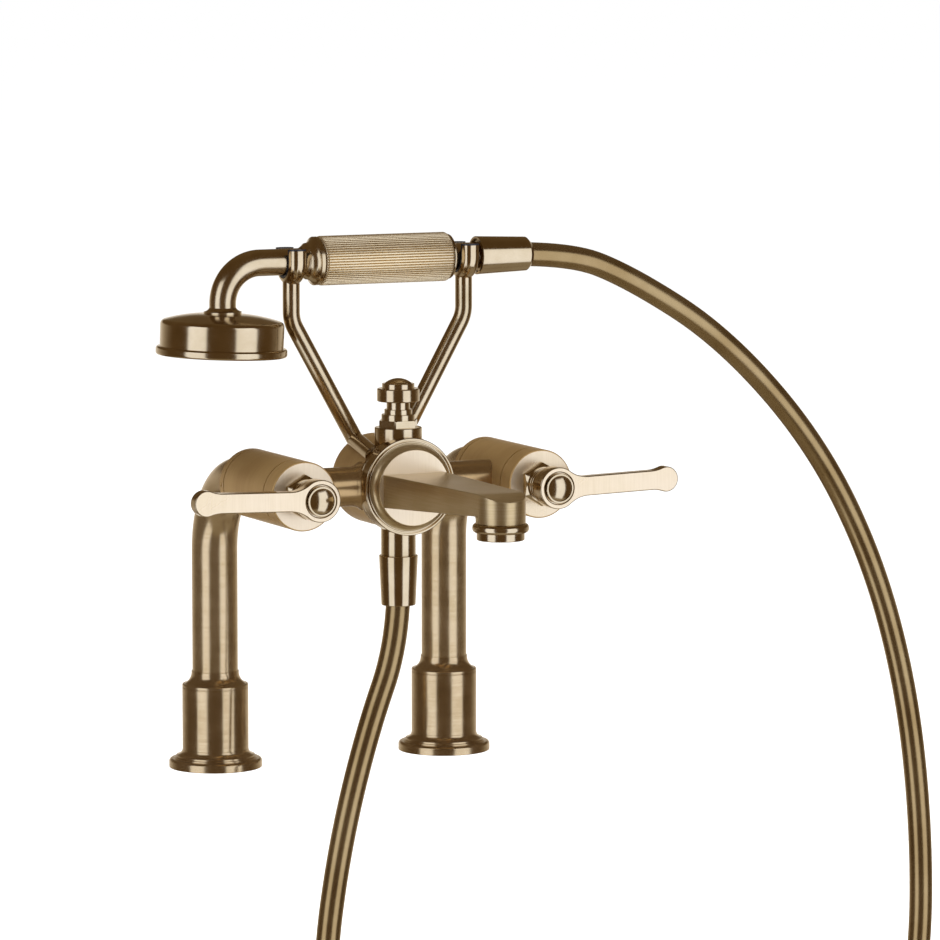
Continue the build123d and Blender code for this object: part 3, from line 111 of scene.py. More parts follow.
def linear(code: str) -> tuple[float, float, float, float]:
    """Turn an sRGB hex code into a linear colour.

    Args:
        code: Six hex digits with a leading hash.

    Returns:
        Linear red, green and blue with full alpha.
    """
    channels = [int(code[i : i + 2], 16) / 255 for i in (1, 3, 5)]
    light = [c / 12.92 if c <= 0.04045 else ((c + 0.055) / 1.055) ** 2.4 for c in channels]
    return (light[0], light[1], light[2], 1.0)


def add_node(
    tree: bpy.types.NodeTree, kind: str, inputs: dict[Any, Any] | None = None, **settings: Any
) -> bpy.types.Node:
    """Add a node, set its fields and fill or link its sockets.

    Args:
        tree: The tree that gets the node.
        kind: The node's type.
        inputs: Value, source socket or source node for each input, by name or number.
        **settings: Fields of the node.

    Returns:
        The new node.
    """
    node = tree.nodes.new(kind)
    for name, value in settings.items():
        setattr(node, name, value)
    for socket, value in (inputs or {}).items():
        if isinstance(value, bpy.types.Node):
            value = value.outputs[0]
        if isinstance(value, bpy.types.NodeSocket):
            tree.links.new(value, node.inputs[socket])
        else:
            node.inputs[socket].default_value = value
    return node


def calculate(tree: bpy.types.NodeTree, operation: str, *terms: Any) -> bpy.types.Node:
    """Add a math node for one operation on its terms."""
    return add_node(tree, "ShaderNodeMath", dict(enumerate(terms)), operation=operation)


def soft_step(tree: bpy.types.NodeTree, value: Any, low: float, high: float) -> bpy.types.Node:
    """Add a smooth step from nothing at the low value to one at the high value."""
    span = {"Value": value, "From Min": low, "From Max": high}
    return add_node(tree, "ShaderNodeMapRange", span, interpolation_type="SMOOTHSTEP")


def mix(tree: bpy.types.NodeTree, factor: Any, first: Any, second: Any) -> bpy.types.NodeSocket:
    """Add a blend of two colours and give its result."""
    node = add_node(tree, "ShaderNodeMix", {"Factor": factor, "A": first, "B": second}, data_type="RGBA")
    return node.outputs["Result"]


def new_material(name: str) -> bpy.types.Material:
    """Make a node material without nodes.

    Args:
        name: Name of the material.

    Returns:
        The empty material.
    """
    made = bpy.data.materials.new(name)
    made.use_nodes = True
    made.node_tree.nodes.clear()
    return made


# Finishes


@dataclass(frozen=True)
class Finish:
    """What every finish has: a name, two tones and a gloss."""

    name: str
    light: str
    dark: str
    roughness: float

    def material(self) -> bpy.types.Material:
        """Give the finish's material, built at its first use.

        Returns:
            The material of this finish.
        """
        made = bpy.data.materials.get(self.name)
        if made is None:
            made = new_material(self.name)
            shader = self.shader(made.node_tree)
            add_node(made.node_tree, "ShaderNodeOutputMaterial", {"Surface": shader})
        return made

    def shader(self, tree: bpy.types.NodeTree) -> bpy.types.Node:
        """Add the finish's own nodes, which each kind of finish describes."""
        raise NotImplementedError


@dataclass(frozen=True)
class BrassFinish(Finish):
    """Brass with an antiqued plating: mottled tone, brushing lines and uneven gloss."""

    roughness_spread: float = 0.04
    metallic: float = 1.0
    grain: Grain = Grain.NONE
    grain_pitch: float = 0.8  # real lines are about 0.1 mm; coarser, so that they show at this size
    grain_tone: float = 0.06
    grain_depth: float = 0.004
    grain_strength: float = 0.35
    mottle: float = 14.0

    def shader(self, tree: bpy.types.NodeTree) -> bpy.types.Node:
        """Add the nodes of the brass.

        Args:
            tree: The material's tree.

        Returns:
            The shader.
        """
        place = add_node(tree, "ShaderNodeTexCoord").outputs["Object"]
        lines_per_metre = 1000.0 / self.grain_pitch
        scale = tuple(lines_per_metre * share for share in self.grain.value)
        stretch = add_node(tree, "ShaderNodeMapping", {"Vector": place, "Scale": scale})
        fine = {"Vector": stretch, "Scale": 1.0, "Detail": 2.0, "Roughness": 0.6}
        lines = add_node(tree, "ShaderNodeTexNoise", fine)
        coarse = {"Vector": place, "Scale": 1000.0 / self.mottle, "Detail": 3.0, "Roughness": 0.55}
        cloud = add_node(tree, "ShaderNodeTexNoise", coarse)
        blend = calculate(tree, "MULTIPLY_ADD", lines, self.grain_tone / 0.12, cloud)
        shift = self.grain_tone * 4
        span = {"Value": blend, "From Min": 0.35 + shift, "From Max": 0.65 + shift}
        tone = add_node(tree, "ShaderNodeMapRange", span)
        span = {
            "Value": cloud,
            "From Min": 0.3,
            "From Max": 0.7,
            "To Min": self.roughness - self.roughness_spread,
            "To Max": self.roughness + self.roughness_spread,
        }
        gloss = add_node(tree, "ShaderNodeMapRange", span)
        height = {"Height": lines, "Strength": self.grain_strength, "Distance": self.grain_depth * MM}
        relief = add_node(tree, "ShaderNodeBump", height)
        look = {
            "Base Color": mix(tree, tone, linear(self.dark), linear(self.light)),
            "Metallic": self.metallic,
            "Roughness": gloss,
            "Normal": relief,
        }
        return add_node(tree, "ShaderNodeBsdfPrincipled", look)


@dataclass(frozen=True)
class MouldedFinish(Finish):
    """Dull or glossy non-metal with a fine grit in tone, gloss and relief."""

    grit: float = 0.6
    relief: float = 0.01
    relief_strength: float = 0.4
    roughness_spread: float = 0.06
    ior: float = 1.5

    def shader(self, tree: bpy.types.NodeTree) -> bpy.types.Node:
        """Add the nodes of the moulding.

        Args:
            tree: The material's tree.

        Returns:
            The shader.
        """
        place = add_node(tree, "ShaderNodeTexCoord").outputs["Object"]
        grains = {"Vector": place, "Scale": 1000.0 / self.grit, "Detail": 2.0}
        grit = add_node(tree, "ShaderNodeTexNoise", grains)
        span = {
            "Value": grit,
            "To Min": self.roughness - self.roughness_spread,
            "To Max": self.roughness + self.roughness_spread,
        }
        gloss = add_node(tree, "ShaderNodeMapRange", span)
        height = {"Height": grit, "Strength": self.relief_strength, "Distance": self.relief * MM}
        look = {
            "Base Color": mix(tree, grit, linear(self.dark), linear(self.light)),
            "Roughness": gloss,
            "IOR": self.ior,
            "Normal": add_node(tree, "ShaderNodeBump", height),
        }
        return add_node(tree, "ShaderNodeBsdfPrincipled", look)


# Satin: plated brass under a matt lacquer. The lower the metallic share, the softer and more even it looks.
SATIN_BARREL = BrassFinish(
    "satin_brass_turned_barrels", "#BE9D69", "#B08E5B", 0.36,
    metallic=0.70, grain=Grain.ACROSS_Y, grain_pitch=1.1, mottle=30.0,
)
SATIN_PIPE = BrassFinish(
    "satin_brass_turned_pipes", "#B79A6E", "#A98B5E", 0.25,
    metallic=0.92, grain_tone=0.0, grain_depth=0.0, mottle=60.0,
)
SATIN_SPOUT = BrassFinish(
    "satin_brass_linished_spout", "#CBB58C", "#B9A175", 0.32,
    metallic=0.92, grain=Grain.ACROSS_Z, grain_pitch=0.9, grain_tone=0.05, mottle=60.0,
)
SATIN_LEG = BrassFinish(
    "satin_brass_turned_legs", "#C4AD87", "#B69E76", 0.21,
    metallic=0.90, grain=Grain.ACROSS_Z, grain_pitch=1.1,
)
SATIN_FOOT = BrassFinish(
    "satin_brass_turned_feet", "#C3AC86", "#B39B74", 0.19,
    metallic=0.96, grain=Grain.ACROSS_Z, grain_pitch=1.1,
)
# Brushed: flat faces drawn over a belt. Fine upright lines, light and even.
BRUSHED_FACE = BrassFinish(
    "brushed_brass_faces", "#E3D0B1", "#D9C5A3", 0.30,
    metallic=0.86, grain=Grain.ACROSS_X, grain_pitch=0.7, grain_tone=0.06, mottle=40.0,
)
# Polished: buffed and antiqued. Clear lights between dark bands, softer on the rods.
POLISHED = BrassFinish(
    "polished_antique_brass", "#CDBA99", "#C0AC89", 0.15,
    roughness_spread=0.02, grain_tone=0.0, grain_depth=0.0,
)
POLISHED_ROD = BrassFinish(
    "polished_antique_brass_rod", "#CDBA98", "#C0AC88", 0.22,
    roughness_spread=0.02, grain_tone=0.0, grain_depth=0.0,
)
# Fluted: milled grip, light on the lands between the flutes.
GRIP_BRASS = BrassFinish("fluted_antique_brass", "#E2CFAA", "#DAC59E", 0.28, metallic=0.90)
# Machined: bare yellow brass of hidden fittings, with tool lines.
MACHINED = BrassFinish(
    "machined_bare_brass", "#D8BE86", "#C9AC70", 0.25, grain=Grain.ACROSS_Y, grain_pitch=0.6
)
# Hose skin: smooth polymer over a metallic foil, softer lights than the brass.
HOSE_SKIN = BrassFinish(
    "metallised_hose_skin", "#A58D63", "#967D53", 0.24,
    metallic=0.94, roughness_spread=0.03, grain_tone=0.0, grain_depth=0.0, mottle=30.0,
)
# Lapped ceramic: off-white and glossy.
LAPPED_CERAMIC = MouldedFinish(
    "lapped_alumina_ceramic", "#F2F0E8", "#E6E3D8", 0.15, grit=2.0, relief=0.001, ior=1.7
)
# Mouldings: black rubber, a near-black nylon with a soft shine, and a pale acetal.
MOULDED_RUBBER = MouldedFinish("moulded_rubber", "#2B2A29", "#1D1C1C", 0.62)
LINER_NYLON = MouldedFinish("moulded_nylon_liner", "#20232E", "#14161D", 0.38)
AERATOR_POM = MouldedFinish("moulded_acetal_aerator", "#D9D8D2", "#C9C8C1", 0.42)


# Outlines


def arc(centre: Corner, radius: float, start: float, end: float, steps: int) -> Outline:
    """Points of an arc of a circle.

    Args:
        centre: Centre of the circle.
        radius: Its radius.
        start: First angle in radians.
        end: Last angle in radians.
        steps: Number of pieces.

    Returns:
        The points, both ends included.
    """
    angles = [start + (end - start) * k / steps for k in range(steps + 1)]
    return [(centre[0] + radius * cos(angle), centre[1] + radius * sin(angle)) for angle in angles]


def bow(start: Corner, end: Corner, bulge: float, steps: int = 10) -> Outline:
    """Points of an arc whose middle lies a bulge to the left of its chord.

    Args:
        start: First point.
        end: Last point.
        bulge: Height of the arc over the chord, negative to the right.
        steps: Number of pieces.

    Returns:
        The points from start to end, both included.
    """
    chord = hypot(end[0] - start[0], end[1] - start[1])
    along = ((end[0] - start[0]) / chord, (end[1] - start[1]) / chord)
    middle = ((start[0] + end[0]) / 2, (start[1] + end[1]) / 2)
    size = (chord**2 / 4 + bulge**2) / (2 * abs(bulge))
    half = atan2(chord / 2, size - abs(bulge))
    hand = 1 if bulge > 0 else -1
    points = []
    for step in range(steps + 1):
        angle = -half + 2 * half * step / steps
        across = size * sin(angle)
        lift = size * (cos(angle) - cos(half)) * hand
        points.append(
            (middle[0] + along[0] * across - along[1] * lift, middle[1] + along[1] * across + along[0] * lift)
        )
    return points


def swapped(points: Outline) -> Outline:
    """Turn (radius, length) points into (length, radius) points."""
    return [(second, first) for first, second in points]


def crown(radius: float, height: float, level: float, steps: int) -> Outline:
    """Points of a shallow dome from its rim to its middle.

    Args:
        radius: Radius of the rim.
        height: Height of the dome.
        level: Length along the axis at the rim.
        steps: Number of pieces.

    Returns:
        The points as (length, radius).
    """
    ball = (radius**2 + height**2) / (2 * height)
    radii = [radius * (1 - k / steps) for k in range(steps + 1)]
    return [(level + height - ball + sqrt(ball**2 - here**2), here) for here in radii]


def rounded(corners: Sequence[Corner]) -> Outline:
    """Round the corners of a closed outline.

    Args:
        corners: Points with an optional rounding radius as the third value.

    Returns:
        The outline's points. Short support points beside each rounding keep the long runs flat.
    """
    points: Outline = []
    for index, corner in enumerate(corners):
        here = Vector(corner[:2])
        if len(corner) < 3:
            points.append((here.x, here.y))
            continue
        neighbours = (corners[index - 1], corners[(index + 1) % len(corners)])
        before, after = (Vector(spot[:2]) - here for spot in neighbours)
        first, second = before.normalized(), after.normalized()
        half_opening = acos(max(-1.0, min(1.0, first.dot(second)))) / 2
        setback = corner[2] / tan(half_opening)
        for arm, spot in zip((before, after), neighbours):
            setback = min(setback, (0.49 if len(spot) > 2 else 0.98) * arm.length)
        reach = setback * tan(half_opening) / sin(half_opening)
        centre = here + (first + second).normalized() * reach
        begin, finish = here + first * setback, here + second * setback
        support = min(0.12, 0.3 * setback)
        if before.length > 3 * setback:
            points.append(tuple(begin + first * support))
        steps = max(3, ceil(degrees(pi - 2 * half_opening) / 15))
        start_arm = begin - centre
        turning = -start_arm.angle_signed(finish - centre)
        start = atan2(start_arm.y, start_arm.x)
        points += arc((centre.x, centre.y), start_arm.length, start, start + turning, steps)
        if after.length > 3 * setback:
            points.append(tuple(finish + second * support))
    return points


@dataclass(frozen=True)
class Lathe:
    """Axis about which a piece is turned, in millimetres."""

    origin: tuple[float, float, float]
    along: tuple[float, float, float]
    across: tuple[float, float, float]

    def point(self, along: float, radius: float, angle: float) -> Vector:
        """Place of a point of the turned piece, in metres.

        Args:
            along: Length along the axis.
            radius: Distance from the axis.
            angle: Angle about the axis in radians.

        Returns:
            The place in metres.
        """
        axis = Vector(self.along)
        first = Vector(self.across)
        second = axis.cross(first)
        spot = Vector(self.origin) + axis * along + (first * cos(angle) + second * sin(angle)) * radius
        return spot * MM


def upright(x: float, y: float, level: float = 0.0) -> Lathe:
    """Lathe about an upright axis."""
    return Lathe((x, y, level), (0, 0, 1), (1, 0, 0))


def forward(x: float) -> Lathe:
    """Lathe about a barrel's axis, its lengths counted forward from the legs."""
    return Lathe((x, 0, LAYOUT.axis_height), AHEAD, (1, 0, 0))


HANDSET_LATHE = Lathe((0, -LAYOUT.cradle_line, LAYOUT.handset_height), (1, 0, 0), (0, 0, 1))
DRUM_LATHE = upright(0, -LAYOUT.body_line, LAYOUT.axis_height)


# Meshes


def finish_mesh(shape: bmesh.types.BMesh, name: str, sharp: float = 36.0) -> bpy.types.Mesh:
    """Merge, orient and shade a shape.

    Args:
        shape: The shape, which is freed.
        name: Name of the mesh.
        sharp: Angle in degrees from which an edge stays sharp.

    Returns:
        The finished mesh.
    """
    bmesh.ops.remove_doubles(shape, verts=shape.verts, dist=1e-6)
    bmesh.ops.recalc_face_normals(shape, faces=shape.faces)
    mesh = bpy.data.meshes.new(name)
    shape.to_mesh(mesh)
    shape.free()
    mesh.polygons.foreach_set("use_smooth", [True] * len(mesh.polygons))
    mesh.set_sharp_from_angle(angle=radians(sharp))
    return mesh


def bridge(shape: bmesh.types.BMesh, rows: Rows, closed: bool = True, ends: bool = True) -> None:
    """Join each row of points with the next one by four-sided faces.

    Args:
        shape: The shape that gets the faces.
        rows: Rows with as many points each.
        closed: Whether each row runs round.
        ends: Whether the first and the last row are filled.
    """
    for first, second in zip(rows, rows[1:]):
        count = len(first)
        for k in range(count if closed else count - 1):
            following = (k + 1) % count
            shape.faces.new((first[k], first[following], second[following], second[k]))
    if ends:
        shape.faces.new(rows[0])
        shape.faces.new(list(reversed(rows[-1])))


def turn(shape: bmesh.types.BMesh, lathe: Lathe, outline: Outline, segments: int = 128) -> None:
    """Add a turned solid to a shape.

    Args:
        shape: The shape that gets the faces.
        lathe: Axis of the turning.
        outline: Closed outline as (length along the axis, radius).
        segments: Number of faces around.
    """
    rings = []
    for along, radius in outline:
        count = 1 if radius < 1e-6 else segments
        spots = [lathe.point(along, radius, 2 * pi * k / segments) for k in range(count)]
        rings.append([shape.verts.new(spot) for spot in spots])
    for first, second in zip(rings, rings[1:] + rings[:1]):
        if len(first) == 1 and len(second) == 1:
            continue
        for k in range(segments):
            following = (k + 1) % segments
            corners = [
                first[k % len(first)],
                first[following % len(first)],
                second[following % len(second)],
                second[k % len(second)],
            ]
            unique = list(dict.fromkeys(corners))
            if len(unique) > 2:
                shape.faces.new(unique)


def turned(
    name: str, lathe: Lathe, corners: Sequence[Corner], segments: int = 128, sharp: float = 36.0
) -> bpy.types.Mesh:
    """Make the finished mesh of a turned piece.

    Args:
        name: Name of the mesh.
        lathe: Axis of the turning.
        corners: Closed outline, with a rounding radius as a third value where wanted.
        segments: Number of faces around.
        sharp: Angle in degrees from which an edge stays sharp.

    Returns:
        The finished mesh.
    """
    shape = bmesh.new()
    turn(shape, lathe, rounded(corners), segments)
    return finish_mesh(shape, name, sharp)


def sweep(shape: bmesh.types.BMesh, path: Sequence[Vector], ring: Sequence[Vector]) -> None:
    """Add a section pushed along a path, mitred at each of its points.

    Args:
        shape: The shape that gets the faces.
        path: Points of the path in millimetres.
        ring: The section's points around the first path point, square to the path, in millimetres.
    """
    current = [Vector(point) for point in ring]
    rings = [[shape.verts.new(point * MM) for point in current]]
    for index in range(1, len(path)):
        step = (path[index] - path[index - 1]).normalized()
        normal = step
        if index + 1 < len(path):
            normal = (step + (path[index + 1] - path[index]).normalized()).normalized()
        current = [point + step * ((path[index] - point).dot(normal) / step.dot(normal)) for point in current]
        rings.append([shape.verts.new(point * MM) for point in current])
    bridge(shape, rings)


def round_ring(centre: Vector, direction: Vector, radius: float, segments: int = 96) -> list[Vector]:
    """Circle of points square to a direction.

    Args:
        centre: Centre of the circle.
        direction: What the circle is square to.
        radius: Its radius.
        segments: Number of points.

    Returns:
        The points in millimetres.
    """
    helper = Vector((0, 1, 0)) if abs(direction.y) < 0.9 else Vector((1, 0, 0))
    first = direction.cross(helper).normalized()
    second = direction.cross(first).normalized()
    circle = arc((0, 0), radius, 0, 2 * pi, segments)[:-1]
    return [centre + first * u + second * v for u, v in circle]


def bent_path(corners: Sequence[Corner], radius: float, step: float = 3.0) -> list[Vector]:
    """Path along straight runs with a tangent arc at each inner corner.

    Args:
        corners: Corner points in millimetres.
        radius: Radius of the arcs.
        step: Largest turn of one piece in degrees.

    Returns:
        The points of the path.
    """
    points = [Vector(corners[0])]
    for before, corner, after in zip(corners, corners[1:], corners[2:]):
        here = Vector(corner)
        first = (Vector(before) - here).normalized()
        second = (Vector(after) - here).normalized()
        opening = first.angle(second)
        setback = radius / tan(opening / 2)
        centre = here + (first + second).normalized() * (radius / sin(opening / 2))
        start = here + first * setback - centre
        axis = start.cross(here + second * setback - centre).normalized()
        pieces = max(2, ceil(degrees(pi - opening) / step))
        for k in range(pieces + 1):
            points.append(centre + Matrix.Rotation((pi - opening) * k / pieces, 3, axis) @ start)
    points.append(Vector(corners[-1]))
    return points


def hexagon(
    shape: bmesh.types.BMesh,
    lathe: Lathe,
    flats: float,
    span: tuple[float, float],
    cone: float,
    first_corner: float,
    edge: float = 0.12,
) -> None:
    """Add a hexagon whose front is turned to a cone of 45 degrees.

    Args:
        shape: The shape that gets the faces.
        lathe: Axis of the hexagon.
        flats: Width over its flats.
        span: Back and front along the axis.
        cone: Radius of the cone at the front.
        first_corner: Angle of a corner in degrees.
        edge: Size of the rounding between flats and cone.
    """
    back, front = span
    count = 96
    rows: list[list[bmesh.types.BMVert]] = [[], [], [], []]
    for k in range(count):
        angle = 360.0 * k / count
        radius = flats / 2 / cos(radians((angle - first_corner) % 60.0 - 30.0))
        start = front - max(0.0, radius - cone)
        trimmed = radius - edge if start < front - edge else radius
        profile = (
            (back, radius), (start - edge, radius), (min(front, start + edge), trimmed),
            (front, min(cone, radius)),
        )
        for row, (along, reach) in zip(rows, profile):
            row.append(shape.verts.new(lathe.point(along, reach, radians(angle))))
    bridge(shape, rows)


def add_object(name: str, data: bpy.types.ID) -> bpy.types.Object:
    """Make an object of its data and put it in the scene.

    Args:
        name: Name of the object.
        data: Its mesh, curve, camera or light.

    Returns:
        The new object.
    """
    made = bpy.data.objects.new(name, data)
    bpy.context.scene.collection.objects.link(made)
    return made


def plain_mesh(holder: bpy.types.Object, name: str) -> bpy.types.Mesh:
    """Turn an object with its modifiers into a plain mesh and remove the object.

    Args:
        holder: The object, which is removed.
        name: Name of the mesh.

    Returns:
        The evaluated mesh.
    """
    graph = bpy.context.evaluated_depsgraph_get()
    mesh = bpy.data.meshes.new_from_object(holder.evaluated_get(graph))
    mesh.name = name
    holder.modifiers.clear()
    bpy.data.objects.remove(holder)
    return mesh


def with_modifiers(mesh: bpy.types.Mesh, name: str, *modifiers: tuple[str, dict[str, Any]]) -> bpy.types.Mesh:
    """Run modifiers over a mesh and keep the result.

    Args:
        mesh: The mesh that is changed.
        name: Name of the result.
        *modifiers: Kind and fields of each modifier.

    Returns:
        The resulting plain mesh.
    """
    holder = add_object(name + "_holder", mesh)
    for kind, fields in modifiers:
        modifier = holder.modifiers.new(kind.lower(), kind)
        for key, value in fields.items():
            setattr(modifier, key, value)
    return plain_mesh(holder, name)


def weighted(weight: int) -> tuple[str, dict[str, Any]]:
    """Modifier that shades a mesh by the size of its faces."""
    return ("WEIGHTED_NORMAL", {"keep_sharp": True, "weight": weight})


def mark_front(mesh: bpy.types.Mesh, limit: float = 0.999) -> bpy.types.Mesh:
    """Give the faces that look ahead the second material, and give the mesh back.

    Args:
        mesh: The mesh that is marked.
        limit: Least share of a face's normal that looks ahead.

    Returns:
        The same mesh.
    """
    direction = Vector(AHEAD)
    for polygon in mesh.polygons:
        if polygon.normal.dot(direction) > limit:
            polygon.material_index = 1
    return mesh


@dataclass
class Repeat:
    """Geometry node group that repeats a small mesh, with named values as its inputs."""

    name: str
    values: dict[str, float | int]

    def __post_init__(self) -> None:
        """Make the group with its sockets."""
        self.tree = bpy.data.node_groups.new(self.name, "GeometryNodeTree")
        make = self.tree.interface.new_socket
        make("Geometry", in_out="INPUT", socket_type="NodeSocketGeometry")
        self.identifiers = {}
        for label, value in self.values.items():
            kind = "NodeSocketInt" if isinstance(value, int) else "NodeSocketFloat"
            self.identifiers[label] = make(label, in_out="INPUT", socket_type=kind).identifier
        make("Geometry", in_out="OUTPUT", socket_type="NodeSocketGeometry")
        self.entry = add_node(self.tree, "NodeGroupInput")

    def copies(self, points: bpy.types.Node, rotation: bpy.types.Node | None = None) -> bpy.types.Node:
        """Set the mesh on every point and make the copies real.

        Args:
            points: Where the copies go.
            rotation: Their turns, none where they all stand the same way.

        Returns:
            The node with the real copies.
        """
        inputs = {"Points": points, "Instance": self.entry.outputs["Geometry"]}
        if rotation:
            inputs["Rotation"] = rotation
        instances = add_node(self.tree, "GeometryNodeInstanceOnPoints", inputs)
        return add_node(self.tree, "GeometryNodeRealizeInstances", {"Geometry": instances})

    def run(self, seed: bpy.types.Mesh, last: bpy.types.Node, finish: Finish) -> bmesh.types.BMesh:
        """Set the material last and run the group over a mesh.

        Args:
            seed: The mesh that is repeated.
            last: The node whose geometry leaves the group.
            finish: The finish of the result.

        Returns:
            The repeated mesh as a shape.
        """
        dressed = {"Geometry": last, "Material": finish.material()}
        add_node(self.tree, "NodeGroupOutput", {0: add_node(self.tree, "GeometryNodeSetMaterial", dressed)})
        holder = add_object(self.name + "_holder", seed)
        modifier = holder.modifiers.new(self.name, "NODES")
        modifier.node_group = self.tree
        for label, value in self.values.items():
            modifier[self.identifiers[label]] = value
        shape = bmesh.new()
        shape.from_mesh(plain_mesh(holder, self.name))
        return shape


@dataclass
class Workshop:
    """Turns finished meshes into the pieces of the model."""

    count: int = 0

    def fit(self, mesh: bpy.types.Mesh, node: str, slot: str, *finishes: Finish, body: str = "mixer") -> None:
        """Make a piece of a mesh and give it its place in the model.

        Args:
            mesh: Finished mesh in metres.
            node: Node that it stands for.
            slot: The record's material slot. Not used.
            *finishes: Its finishes, in the order of its material numbers.
            body: Body that it rides on.
        """
        if not mesh.materials:
            for finish in finishes:
                mesh.materials.append(finish.material())
        piece = add_object(node + "_skin", mesh)
        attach(piece, body)
        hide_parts(node)
        self.count += 1
        log.info("%s: %d faces on %s", piece.name, len(mesh.polygons), body)

    def dress(self, finish: Finish, *names: str) -> None:
        """Give carried-over nodes a finish.

        Args:
            finish: Their finish.
            *names: The nodes.
        """
        for name in names:
            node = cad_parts[name]
            node.data.materials.clear()
            node.data.materials.append(finish.material())
            log.info("%s: dressed as %s", name, finish.name)


# Legs


@dataclass
class Leg:
    """Flange, collar, socket and tube of one side."""

    side: Side
    flange_radius: float = 27.8
    flange_thickness: float = 5.4
    flange_top: float = 11.0
    flange_cove: float = 0.9
    step_radii: tuple[float, float] = (24.4, 23.4)
    step_height: float = 0.95
    bore: float = 15.15
    collar_radius: float = 19.75
    collar_wall: float = 1.75
    collar_top: float = 50.3
    groove: tuple[float, float] = (2.4, 1.9)  # below the collar's top
    groove_depth: float = 0.6
    tube_radius: float = 13.6
    tube_foot: float = 30.0
    tube_end: float = 63.0
    bend_radius: float = 46.0
    socket_top: float = 57.8
    socket_depth: float = 6.0
    socket_inset: float = 1.5
    socket_lip: float = 0.6
    socket_cove: float = 1.3

    def flange(self, lathe: Lathe) -> bpy.types.Mesh:
        """Stepped flange with a coved top.

        Args:
            lathe: Axis of the leg.

        Returns:
            The finished mesh.
        """
        outer, inner = self.step_radii
        first = self.flange_thickness + self.step_height
        rim = (inner, first + self.step_height)
        cove = swapped(bow(rim, (self.collar_radius, self.flange_top), self.flange_cove))
        corners = [
            (self.flange_top, self.bore), (0, self.bore), (0, self.flange_radius, 0.4),
            (self.flange_thickness, self.flange_radius, 1.8), (self.flange_thickness, outer),
            (first, outer, 0.35), (first, inner), *cove,
        ]
        return turned("flange", lathe, corners)

    def collar(self, lathe: Lathe) -> bpy.types.Mesh:
        """Plain collar with a fine groove near its top.

        Args:
            lathe: Axis of the leg.

        Returns:
            The finished mesh.
        """
        wall = self.collar_radius - self.collar_wall
        low, high = (self.collar_top - drop for drop in self.groove)
        floor = self.collar_radius - self.groove_depth
        corners = [
            (self.flange_top, wall), (self.flange_top, self.collar_radius, 0.25),
            (low, self.collar_radius, 0.15), (low, floor), (high, floor), (high, self.collar_radius, 0.3),
            (self.collar_top, self.collar_radius, 1.2), (self.collar_top, wall),
        ]
        return turned("collar", lathe, corners)

    def socket(self, lathe: Lathe) -> bpy.types.Mesh:
        """Coved socket between collar and tube.

        Args:
            lathe: Axis of the leg.

        Returns:
            The finished mesh.
        """
        shoulder = (self.collar_radius - self.socket_inset, self.collar_top)
        lip = (self.tube_radius + self.socket_lip, self.socket_top)
        bore = self.tube_radius + FIT_GAP
        rim = self.collar_radius - self.collar_wall - FIT_GAP
        foot = self.collar_top - self.socket_depth
        cove = swapped(bow(shoulder, lip, self.socket_cove, 14))
        corners = [*cove, (self.socket_top, bore), (foot, bore), (foot, rim), (self.collar_top, rim)]
        return turned("socket", lathe, corners)

    def tube(self) -> bpy.types.Mesh:
        """Upright tube that bends forward.

        Returns:
            The finished mesh.
        """
        x, height = self.side.leg_x, LAYOUT.axis_height
        corners = [(x, 0, self.tube_foot), (x, 0, height), (x, -self.tube_end, height)]
        path = bent_path(corners, self.bend_radius)
        shape = bmesh.new()
        sweep(shape, path, round_ring(path[0], Vector((0, 0, 1)), self.tube_radius))
        return finish_mesh(shape, "tube")

    def build(self, shop: Workshop) -> None:
        """Make the four pieces.

        Args:
            shop: Where the pieces are made.
        """
        word = self.side.word
        lathe = upright(self.side.leg_x, 0)
        shop.fit(self.flange(lathe), f"{word}_deck_flange", "brass_satin", SATIN_FOOT)
        shop.fit(self.collar(lathe), f"{word}_shroud_collar", "brass_satin", SATIN_FOOT)
        shop.fit(self.socket(lathe), f"{word}_leg_socket", "brass_satin", SATIN_FOOT)
        shop.fit(self.tube(), f"{word}_leg_tube", "brass_satin", SATIN_LEG)


# Valves


